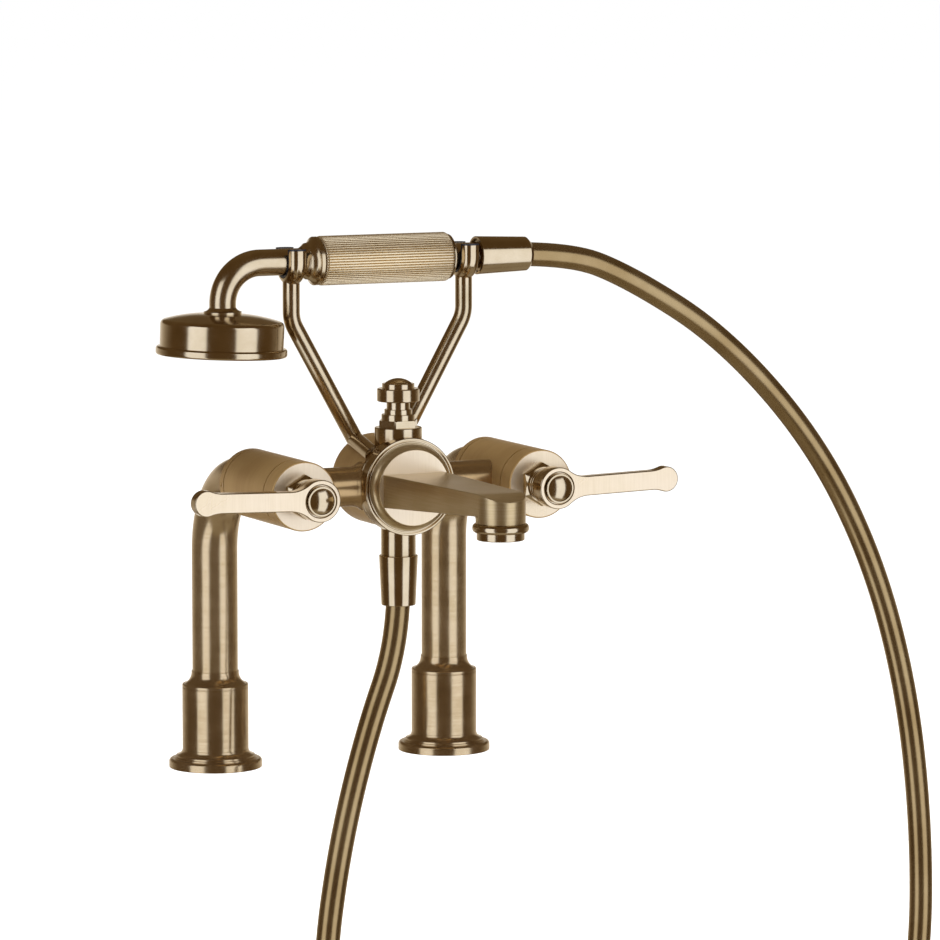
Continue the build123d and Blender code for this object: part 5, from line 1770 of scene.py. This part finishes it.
@dataclass
class Cradle:
    """Two rods with a lined fork each."""

    rod_radius: float = 5.0
    spread: float = 55.2
    elbow_drop: float = 34.5
    elbow_radius: float = 20.0
    knee_spread: float = 15.1
    knee_rise: float = 24.0
    foot_spread: float = 17.9
    foot_rise: float = 18.0
    foot_line: float = 104.0
    foot_end: float = 104.3
    half_width: float = 5.5
    wall: float = 4.4
    round_radius: float = 4.8
    slot: float = 9.35
    liner_slot: float = 8.1
    liner_bite: float = 0.05
    stand: float = 6.9
    lip: float = 0.8
    lip_overlap: float = 0.2
    boss: float = 3.0
    boss_root: float = 2.4

    def middle(self, side: Side) -> Vector:
        """Centre of a fork on the hand shower's axis."""
        return Vector((side.value * self.spread, -LAYOUT.cradle_line, LAYOUT.handset_height))

    def arm(self, side: Side) -> bpy.types.Mesh:
        """Rod from the fork to its mitred foot on the drum.

        Args:
            side: Which arm.

        Returns:
            The finished mesh.
        """
        hand = side.value
        line = -LAYOUT.cradle_line
        top = LAYOUT.handset_height - self.slot - self.wall - self.boss
        corners = [
            (hand * self.spread, line, top),
            (hand * self.spread, line, LAYOUT.handset_height - self.elbow_drop),
            (hand * self.knee_spread, line, LAYOUT.axis_height + self.knee_rise),
        ]
        path = bent_path(corners, self.elbow_radius)
        path.append(Vector((hand * self.foot_spread, -self.foot_line, LAYOUT.axis_height + self.foot_rise)))
        shape = bmesh.new()
        sweep(shape, path, round_ring(path[0], Vector((0, 0, -1)), self.rod_radius, 64))
        everything = [*shape.verts, *shape.edges, *shape.faces]
        cut = (0.0, -self.foot_end * MM, 0.0)
        bmesh.ops.bisect_plane(shape, geom=everything, plane_co=cut, plane_no=AHEAD, clear_outer=True)
        bmesh.ops.holes_fill(shape, edges=[edge for edge in shape.edges if edge.is_boundary])
        return finish_mesh(shape, "arm")

    def prong_section(self) -> Outline:
        """D-shaped section of a fork: width along the handset and depth outwards.

        Returns:
            The points as (width, depth).
        """
        flat = self.half_width - self.round_radius
        centre = self.wall - self.round_radius
        start = acos(-centre / self.round_radius)
        back = arc((flat, centre), self.round_radius, pi / 2 - start, pi / 2, 10)
        edge = flat + sqrt(self.round_radius**2 - centre**2)
        right = [(edge - 0.25, 0.0), (edge, 0.25), *(spot for spot in back if spot[1] > 0.3)]
        return right + [(-width, depth) for width, depth in reversed(right)]

    def around(self) -> list[tuple[float, float, float, float]]:
        """Places and outward directions along the U of a fork.

        Returns:
            One row for each station, as place and outward direction.
        """
        stations = [(self.slot, self.stand * (1 - k / 3), 1.0, 0.0) for k in range(3)]
        for out_ahead, out_up in arc((0, 0), 1.0, 0, -pi, 36):
            stations.append((self.slot * out_ahead, self.slot * out_up, out_ahead, out_up))
        return stations + [(-self.slot, self.stand * k / 3, -1.0, 0.0) for k in range(1, 4)]

    def along_fork(self, shape: bmesh.types.BMesh, side: Side, section: Outline, lift: float = 0.0) -> None:
        """Add a section pushed along the U of a fork.

        Args:
            shape: The shape that gets the faces.
            side: Which fork.
            section: Its width along the handset and its depth outwards.
            lift: How far the section stands above the prongs' top.
        """
        rings = []
        for ahead, level, out_ahead, out_up in self.around():
            height = level + lift if level == self.stand else level
            ring = []
            for width, depth in section:
                spot = Vector((width, -(ahead + out_ahead * depth), height + out_up * depth))
                ring.append(shape.verts.new((self.middle(side) + spot) * MM))
            rings.append(ring)
        bridge(shape, rings)

    def fork(self, side: Side) -> bpy.types.Mesh:
        """Open fork with rounded backs.

        Args:
            side: Which fork.

        Returns:
            The finished mesh.
        """
        shape = bmesh.new()
        self.along_fork(shape, side, self.prong_section())
        foot = -self.slot - self.wall - self.boss
        top = foot + self.boss + self.boss_root
        stub = [(foot, 0), (foot, self.rod_radius), (top, self.rod_radius), (top, 0)]
        turn(shape, upright(*self.middle(side)), stub, 64)
        return with_modifiers(finish_mesh(shape, "fork", 40.0), "fork", weighted(70))

    def liners(self) -> bpy.types.Mesh:
        """Liners in the slots, turned over the prongs' tops.

        Returns:
            The finished mesh.
        """
        shape = bmesh.new()
        half, radius = self.half_width, self.round_radius
        outer, inner = -self.liner_bite, self.liner_slot - self.slot
        strip = [(-half, outer), (half, outer), (half, inner), (-half, inner)]
        flat, centre = half - radius, self.wall - FIT_GAP - radius
        back = arc((-flat, centre), radius, pi, pi / 2, 12) + arc((flat, centre), radius, pi / 2, 0, 12)
        lip = [(-half, -self.lip_overlap), *((u, max(0.0, v)) for u, v in back), (half, -self.lip_overlap)]
        for side in Side:
            self.along_fork(shape, side, strip, self.lip)
            for hand in (1, -1):
                rows = []
                for level in (self.stand, self.stand + self.lip):
                    spots = [Vector((width, -hand * (self.slot + depth), level)) for width, depth in lip]
                    rows.append([shape.verts.new((self.middle(side) + spot) * MM) for spot in spots])
                bridge(shape, rows)
        return finish_mesh(shape, "liners", 30.0)

    def build(self, shop: Workshop) -> None:
        """Make the five pieces."""
        for side in Side:
            shop.fit(self.arm(side), f"{side.word}_cradle_arm", "brass_polished", POLISHED_ROD)
            shop.fit(self.fork(side), f"{side.word}_cradle_fork", "brass_polished", POLISHED)
        shop.fit(self.liners(), "fork_liners", "liner", LINER_NYLON)


# Hand shower


@dataclass
class HandShower:
    """Neck, ferrules, fluted grip and rose."""

    neck_radius: float = 7.75
    bend: float = 23.0
    rose_offset: float = 98.3
    collar_radius: float = 11.0
    collar_height: float = 3.5
    collar_drop: float = 2.1
    collar_root: float = 1.6
    ferrule_start: float = -49.2
    ferrule_mouth: float = 8.3
    ferrule_waist: tuple[float, float] = (2.9, 10.6)  # length from the start and radius
    ferrule_bell: tuple[float, float] = (7.9, 14.2)
    ferrule_groove: tuple[float, float] = (0.9, 12.6)  # before the grip, and radius
    grip_start: float = -38.2
    grip_end: float = 44.0
    grip_radius: float = 14.45
    flute_count: int = 56
    flute_depth: float = 0.8
    flute_half_width: float = 0.5
    flute_places: tuple[float, ...] = (-1.0, -0.75, -0.56, -0.46, -0.24, 0.0, 0.24, 0.46, 0.56, 0.75, 1.0)
    tail_radius: float = 13.3
    tail_length: float = 5.6
    spigot_start: float = 64.5
    spigot_end: float = 77.0
    spigot_radius: float = 9.9
    rose_tilt: float = 2.1
    rose_radius: float = 35.9
    rim_radius: float = 38.15
    rim_height: float = 5.0
    side_height: float = 19.8
    dome_height: float = 24.3
    dome_span: tuple[float, float] = (33.2, 12.0)
    dome_rise: float = 0.83
    plate_radius: float = 34.6
    plate_recess: float = 1.2
    nozzle_radius: float = 1.3
    nozzle_pitch: float = 7.6
    nozzle_rings: int = 4
    mat_levels: tuple[float, float] = (3.6, 5.6)

    @property
    def neck_foot(self) -> float:
        """Height of the neck's lower end."""
        return LAYOUT.handset_height - self.bend - self.collar_drop - self.collar_height

    def neck(self) -> bpy.types.Mesh:
        """Bent tube with the collar above the rose.

        Returns:
            The finished mesh.
        """
        line, height, foot = -LAYOUT.cradle_line, LAYOUT.handset_height, self.neck_foot
        shape = bmesh.new()
        corners = [
            (self.grip_start + 9.0, line, height), (-self.rose_offset, line, height),
            (-self.rose_offset, line, foot),
        ]
        path = bent_path(corners, self.bend)
        sweep(shape, path, round_ring(path[0], Vector((-1, 0, 0)), self.neck_radius))
        top = (self.neck_radius - 0.02, foot + self.collar_height)
        rim = (self.collar_radius, foot + self.collar_height / 3)
        root = foot - self.collar_root
        section = swapped(bow(top, rim, -0.5, 8))
        section += [(root, self.collar_radius), (root, 0.0), (foot + self.collar_height, 0.0)]
        turn(shape, upright(-self.rose_offset, line), section, 96)
        return finish_mesh(shape, "neck")

    def ferrule(self) -> bpy.types.Mesh:
        """Bell-shaped ferrule at the rose's end of the grip.

        Returns:
            The finished mesh.
        """
        start, bore = self.ferrule_start, self.neck_radius + FIT_GAP
        waist, bell = ((start + along, radius) for along, radius in (self.ferrule_waist, self.ferrule_bell))
        groove = self.grip_start - self.ferrule_groove[0]
        floor = self.ferrule_groove[1]
        corners = [
            *bow((start, self.ferrule_mouth), waist, -0.1, 5)[:-1], *bow(waist, bell, -0.9),
            (groove, bell[1], 0.3), (groove, floor), (self.grip_start, floor), (self.grip_start, bore),
            (start, bore),
        ]
        return turned("ferrule", HANDSET_LATHE, corners)

    def flute_strip(self) -> bpy.types.Mesh:
        """One flute of the grip, from ridge to ridge, with the plain bands at its ends.

        Returns:
            The strip as a plain mesh.
        """
        half = pi / self.flute_count
        start, end, full = self.grip_start, self.grip_end, self.grip_radius
        stations = (
            (start, 0.0, full - 1.0), (start + 0.4, 0.3, full - 0.5), (start + 0.9, 0.8, full - 0.12),
            (start + 1.4, 1.0, full), (end - 2.0, 1.0, full), (end - 1.5, 1.0, full - 0.15),
            (end - 0.8, 0.6, full - 0.8), (end, 0.0, full - 1.8),
        )
        shape = bmesh.new()
        rows = []
        for along, share, radius in stations:
            row = []
            for place in self.flute_places:
                depth = self.flute_depth * share * max(0.0, 1 - abs(place) / self.flute_half_width)
                reach = radius - depth
                spot = Vector((along, reach * sin(half * place), reach * cos(half * place)))
                row.append(shape.verts.new(spot * MM))
            rows.append(row)
        for first, second in zip(rows, rows[1:]):
            for a, b, c, d in zip(first, first[1:], second[1:], second):
                shape.faces.new((a, d, c, b))
        mesh = bpy.data.meshes.new("flute_strip")
        shape.to_mesh(mesh)
        shape.free()
        return mesh

    def fluted_grip(self) -> bpy.types.Mesh:
        """Grip whose flutes are repeated around its axis by Geometry Nodes.

        Returns:
            The finished mesh.
        """
        values = {
            "Flute Count": self.flute_count,
            "Axis Height": LAYOUT.handset_height * MM,
            "Cradle Line": -LAYOUT.cradle_line * MM,
        }
        group = Repeat("flutes_around_grip", values)
        tree, entry = group.tree, group.entry
        row = {"Count": entry.outputs["Flute Count"], "Offset": (0.0, 0.0, 0.0)}
        points = add_node(tree, "GeometryNodeMeshLine", row)
        part = calculate(tree, "DIVIDE", 2 * pi, entry.outputs["Flute Count"])
        angle = calculate(tree, "MULTIPLY", add_node(tree, "GeometryNodeInputIndex"), part)
        copies = group.copies(points, add_node(tree, "ShaderNodeCombineXYZ", {"X": angle}))
        spot = {"Y": entry.outputs["Cradle Line"], "Z": entry.outputs["Axis Height"]}
        place = {"Geometry": copies, "Translation": add_node(tree, "ShaderNodeCombineXYZ", spot)}
        moved = add_node(tree, "GeometryNodeTransform", place)
        joined = add_node(tree, "GeometryNodeMergeByDistance", {"Geometry": moved, "Distance": 1e-5})
        shape = group.run(self.flute_strip(), joined, GRIP_BRASS)
        bmesh.ops.remove_doubles(shape, verts=shape.verts, dist=2e-6)
        for end in (self.grip_start, self.grip_end):
            edges = [edge for edge in shape.edges if edge.is_boundary]
            rim = [edge for edge in edges if abs(edge.verts[0].co.x - end * MM) < 1e-5]
            bmesh.ops.contextual_create(shape, geom=rim)
        return finish_mesh(shape, "grip", 50.0)

    def tail(self) -> bpy.types.Mesh:
        """Ferrule and shank at the hose's end of the grip.

        Returns:
            The finished mesh.
        """
        end, neck, wide = self.grip_end, self.neck_radius, self.tail_radius
        corners = [
            (end - 6.0, 0.0), (end - 6.0, neck), (end, neck), (end, wide), (end + 1.0, wide + 0.001, 0.25),
        ]
        section = rounded(corners)
        section += bow((end + 1.05, wide - 0.2), (end + self.tail_length, neck), -0.9, 12)
        section += [(self.spigot_start, neck), (self.spigot_start, self.spigot_radius)]
        section += [(self.spigot_end, self.spigot_radius), (self.spigot_end, 0.0)]
        shape = bmesh.new()
        turn(shape, HANDSET_LATHE, section)
        return finish_mesh(shape, "tail", 40.0)

    def rose_lathe(self) -> Lathe:
        """Leaning axis of the rose, lengths counted from its face.

        Returns:
            The axis.
        """
        lean = radians(self.rose_tilt)
        up = Vector((sin(lean), 0, cos(lean)))
        crown_place = Vector((-self.rose_offset, -LAYOUT.cradle_line, self.neck_foot - FIT_GAP))
        return Lathe(tuple(crown_place - up * self.dome_height), tuple(up), (cos(lean), 0, -sin(lean)))

    def rose(self) -> bpy.types.Mesh:
        """Shallow dome with a beaded rim.

        Returns:
            The finished mesh.
        """
        inner, side, rim = self.plate_radius + FIT_GAP, self.rose_radius, self.rim_radius
        outside, crown_radius = self.dome_span
        foot, top = (outside, self.side_height + self.dome_rise), (crown_radius, self.dome_height)
        corners = [
            (self.plate_recess, 0.0), (self.plate_recess, inner - 0.3), (self.plate_recess, inner),
            (0.0, inner, 0.3), (0.0, rim, 1.5), (self.rim_height, rim, 1.5), (self.rim_height, side),
            (self.side_height, side, 3.0), *swapped(bow(foot, top, -0.63, 12)), (self.dome_height, 0.0),
        ]
        return turned("rose", self.rose_lathe(), corners, 192, 40.0)

    def nozzles(self) -> bpy.types.Mesh:
        """Soft mat with its rings of nozzles, repeated by Geometry Nodes.

        Returns:
            The finished mesh.
        """
        radius = self.nozzle_radius
        seed_outline = [
            (3.4, 0), (3.4, radius), (1.1, radius * 0.95), (0.7, radius * 0.6), (0.7, 0.45),
            (1.3, 0.4), (1.3, 0),
        ]
        seed = turned("nozzle", upright(0, 0), seed_outline, 16)
        group = Repeat("nozzles_in_rings", {"Ring Pitch": self.nozzle_pitch * MM})
        tree = group.tree
        gather = add_node(tree, "GeometryNodeJoinGeometry")
        for ring in range(1, self.nozzle_rings + 1):
            reach = calculate(tree, "MULTIPLY", group.entry.outputs["Ring Pitch"], float(ring))
            circle = add_node(tree, "GeometryNodeMeshCircle", {"Vertices": 6 * ring, "Radius": reach})
            tree.links.new(circle.outputs[0], gather.inputs[0])
        shape = group.run(seed, group.copies(gather), MOULDED_RUBBER)
        rose = self.rose_lathe()
        along, across = Vector(rose.along), Vector(rose.across)
        place = Matrix((across, along.cross(across), along)).transposed().to_4x4()
        place.translation = Vector(rose.origin) * MM
        shape.transform(place)
        low, high = self.mat_levels
        reach = self.plate_radius - 3.5
        turn(shape, rose, [(low, 0), (low, reach), (high, reach), (high, 0)], 96)
        return finish_mesh(shape, "nozzle_mat")

    def build(self, shop: Workshop) -> None:
        """Make the pieces and dress the plate."""
        for mesh, node, slot, finish in (
            (self.neck(), "handset_neck", "brass_satin", POLISHED_ROD),
            (self.ferrule(), "left_grip_ferrule", "brass_satin", POLISHED_ROD),
            (self.fluted_grip(), "handset_grip", "brass_satin", GRIP_BRASS),
            (self.tail(), "handset_tail", "brass_satin", POLISHED_ROD),
            (self.rose(), "rose_body", "brass_satin", POLISHED),
            (self.nozzles(), "rose_nozzle_mat", "rubber", MOULDED_RUBBER),
        ):
            shop.fit(mesh, node, slot, finish, body="handset")
        shop.dress(POLISHED, "rose_plate")


# Studio


@dataclass
class Studio:
    """Camera, floor, lamp and the surroundings that the metal mirrors."""

    yaw: float = 25.0
    pitch: float = 6.537
    focal: float = 5500.5
    picture: float = 940.0
    sensor: float = 36.0
    place: tuple[float, float, float] = (-1.3076, -3.0025, 0.5494)
    floor_level: float = -0.40
    floor_half: float = 40.0
    lamp_watts: float = 220.0
    lamp_size: float = 6.0
    lamp_height: float = 4.0
    walls_radius: float = 9.0
    soft_edge: float = 4.0
    boxes: tuple[tuple[float, float], ...] = ((-63.0, -26.0), (28.0, 70.0))
    box_levels: tuple[float, float] = (-44.0, 34.0)
    back_azimuths: tuple[float, float] = (98.0, 182.0)
    glow_levels: tuple[tuple[float, float], ...] = ((15.0, 3.0), (-26.0, -18.0))
    ground_levels: tuple[float, float] = (-32.0, -44.0)
    front_tone: Corner = (0.115, 0.070, 0.030, 1.0)
    back_tone: Corner = (0.135, 0.088, 0.042, 1.0)
    ground_tone: Corner = (0.34, 0.29, 0.22, 1.0)
    glow_tone: Corner = (1.00, 0.92, 0.80, 1.0)
    box_tone: Corner = (1.40, 1.50, 1.78, 1.0)

    def camera(self) -> None:
        """Make the camera of the photograph."""
        data = bpy.data.cameras.new("camera")
        data.sensor_width = self.sensor
        data.sensor_height = self.sensor
        data.lens = self.focal / self.picture * self.sensor
        data.clip_end = 100.0
        camera = add_object("camera", data)
        camera.location = self.place
        camera.rotation_euler = (radians(90.0 - self.pitch), 0.0, radians(-self.yaw))
        bpy.context.scene.camera = camera

    def world(self) -> None:
        """Even white world."""
        world = bpy.data.worlds.new("studio")
        bpy.context.scene.world = world
        world.use_nodes = True
        tree = world.node_tree
        tree.nodes.clear()
        sky = add_node(tree, "ShaderNodeBackground", {"Color": (1.0, 1.0, 1.0, 1.0), "Strength": 1.0})
        add_node(tree, "ShaderNodeOutputWorld", {"Surface": sky})

    def floor(self) -> None:
        """Wide pale floor below the hose's loop."""
        shape = bmesh.new()
        corners = ((-1, -1), (1, -1), (1, 1), (-1, 1))
        spots = [(u * self.floor_half, v * self.floor_half, self.floor_level) for u, v in corners]
        shape.faces.new([shape.verts.new(spot) for spot in spots])
        mesh = bpy.data.meshes.new("floor")
        shape.to_mesh(mesh)
        shape.free()
        paper = new_material("floor_paper")
        matt = add_node(paper.node_tree, "ShaderNodeBsdfDiffuse", {"Color": linear("#FFFFFF")})
        add_node(paper.node_tree, "ShaderNodeOutputMaterial", {"Surface": matt})
        mesh.materials.append(paper)
        floor = add_object("floor", mesh)
        floor.visible_glossy = False

    def lamp(self) -> None:
        """Wide soft lamp overhead that lightens the matt share of the finishes."""
        data = bpy.data.lights.new("overhead", "AREA")
        data.shape = "DISK"
        data.size = self.lamp_size
        data.energy = self.lamp_watts
        lamp = add_object("overhead", data)
        lamp.location = (0.0, 0.0, self.lamp_height)
        lamp.visible_glossy = False
        lamp.visible_camera = False

    def directions(self, tree: bpy.types.NodeTree) -> tuple[bpy.types.Node, bpy.types.Node]:
        """Add the azimuth from the photograph's view and the level of a place on the walls.

        Args:
            tree: The walls' tree.

        Returns:
            Azimuth and level in degrees.
        """
        place = add_node(tree, "ShaderNodeTexCoord").outputs["Object"]
        rotation = (0.0, 0.0, radians(self.yaw))
        view = {"Vector": place, "Rotation": rotation}
        turned_place = add_node(tree, "ShaderNodeMapping", view, vector_type="POINT")
        split = add_node(tree, "ShaderNodeSeparateXYZ", {"Vector": turned_place})
        ahead = calculate(tree, "MULTIPLY", split.outputs["Y"], -1.0)
        azimuth = calculate(tree, "DEGREES", calculate(tree, "ARCTAN2", split.outputs["X"], ahead))
        rise = calculate(tree, "DIVIDE", split.outputs["Z"], self.walls_radius)
        return azimuth, calculate(tree, "DEGREES", calculate(tree, "ARCSINE", rise))

    def between(
        self, tree: bpy.types.NodeTree, value: bpy.types.Node, span: tuple[float, float]
    ) -> bpy.types.Node:
        """Add a mask that is one inside a span of degrees, with soft edges.

        Args:
            tree: The walls' tree.
            value: The angle.
            span: Its lower and upper edge.

        Returns:
            The mask.
        """
        half = self.soft_edge / 2
        rise = soft_step(tree, value, span[0] - half, span[0] + half)
        drop = soft_step(tree, value, span[1] + half, span[1] - half)
        return calculate(tree, "MULTIPLY", rise, drop)

    def wall_paint(self) -> bpy.types.Material:
        """Glowing paint of the walls: dark, with two softboxes, a lit back and a lighter ground.

        Returns:
            The material.
        """
        paint = new_material("studio_walls")
        tree = paint.node_tree
        azimuth, level = self.directions(tree)
        left, right = (self.between(tree, azimuth, box) for box in self.boxes)
        band = self.between(tree, level, self.box_levels)
        lit = calculate(tree, "MULTIPLY", calculate(tree, "ADD", left, right), band)
        behind = soft_step(tree, calculate(tree, "ABSOLUTE", azimuth), *self.back_azimuths)
        below, above = (soft_step(tree, level, *span) for span in self.glow_levels)
        glow = calculate(tree, "MULTIPLY", behind, calculate(tree, "MULTIPLY", below, above))
        ground = soft_step(tree, level, *self.ground_levels)
        tone = mix(tree, behind, self.front_tone, self.back_tone)
        tone = mix(tree, ground, tone, self.ground_tone)
        tone = mix(tree, glow, tone, self.glow_tone)
        tone = mix(tree, lit, tone, self.box_tone)
        light = add_node(tree, "ShaderNodeEmission", {"Color": tone, "Strength": 1.0})
        add_node(tree, "ShaderNodeOutputMaterial", {"Surface": light})
        return paint

    def surroundings(self) -> None:
        """Dark studio walls with two softboxes, seen by the metal alone."""
        shape = bmesh.new()
        bmesh.ops.create_uvsphere(shape, u_segments=64, v_segments=32, radius=self.walls_radius)
        mesh = bpy.data.meshes.new("studio_walls")
        shape.to_mesh(mesh)
        shape.free()
        mesh.materials.append(self.wall_paint())
        walls = add_object("studio_walls", mesh)
        walls.visible_camera = False
        walls.visible_diffuse = False
        walls.visible_transmission = False
        walls.visible_shadow = False

    def build(self) -> None:
        """Set up the view, the light and the floor."""
        bpy.context.scene.view_settings.view_transform = "Standard"
        self.world()
        self.floor()
        self.lamp()
        self.surroundings()


def main() -> None:
    """Build the model in the order of its assembly."""
    logging.basicConfig(level=logging.INFO, format="%(message)s")
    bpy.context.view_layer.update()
    studio = Studio()
    studio.camera()
    line = HoseLine()
    line.hose()
    shop = Workshop()
    for side in Side:
        Leg(side).build(shop)
        Valve(side).build(shop)
    for assembly in (Drum(), Diverter(), line, Cradle(), HandShower()):
        assembly.build(shop)
    for side in Side:
        word = side.word
        shop.dress(MACHINED, f"{word}_inlet_union", f"{word}_cartridge", f"{word}_spindle")
        shop.dress(LAPPED_CERAMIC, f"{word}_moving_disc")
    shop.dress(MACHINED, "diverter_spindle", "diverter_piston")
    shop.dress(LAPPED_CERAMIC, "fixed_discs")
    shop.dress(MOULDED_RUBBER, "inlet_washers", "lower_hose_washer")
    studio.build()
    log.info("%d pieces", shop.count)


if __name__ == "__main__":
    main()
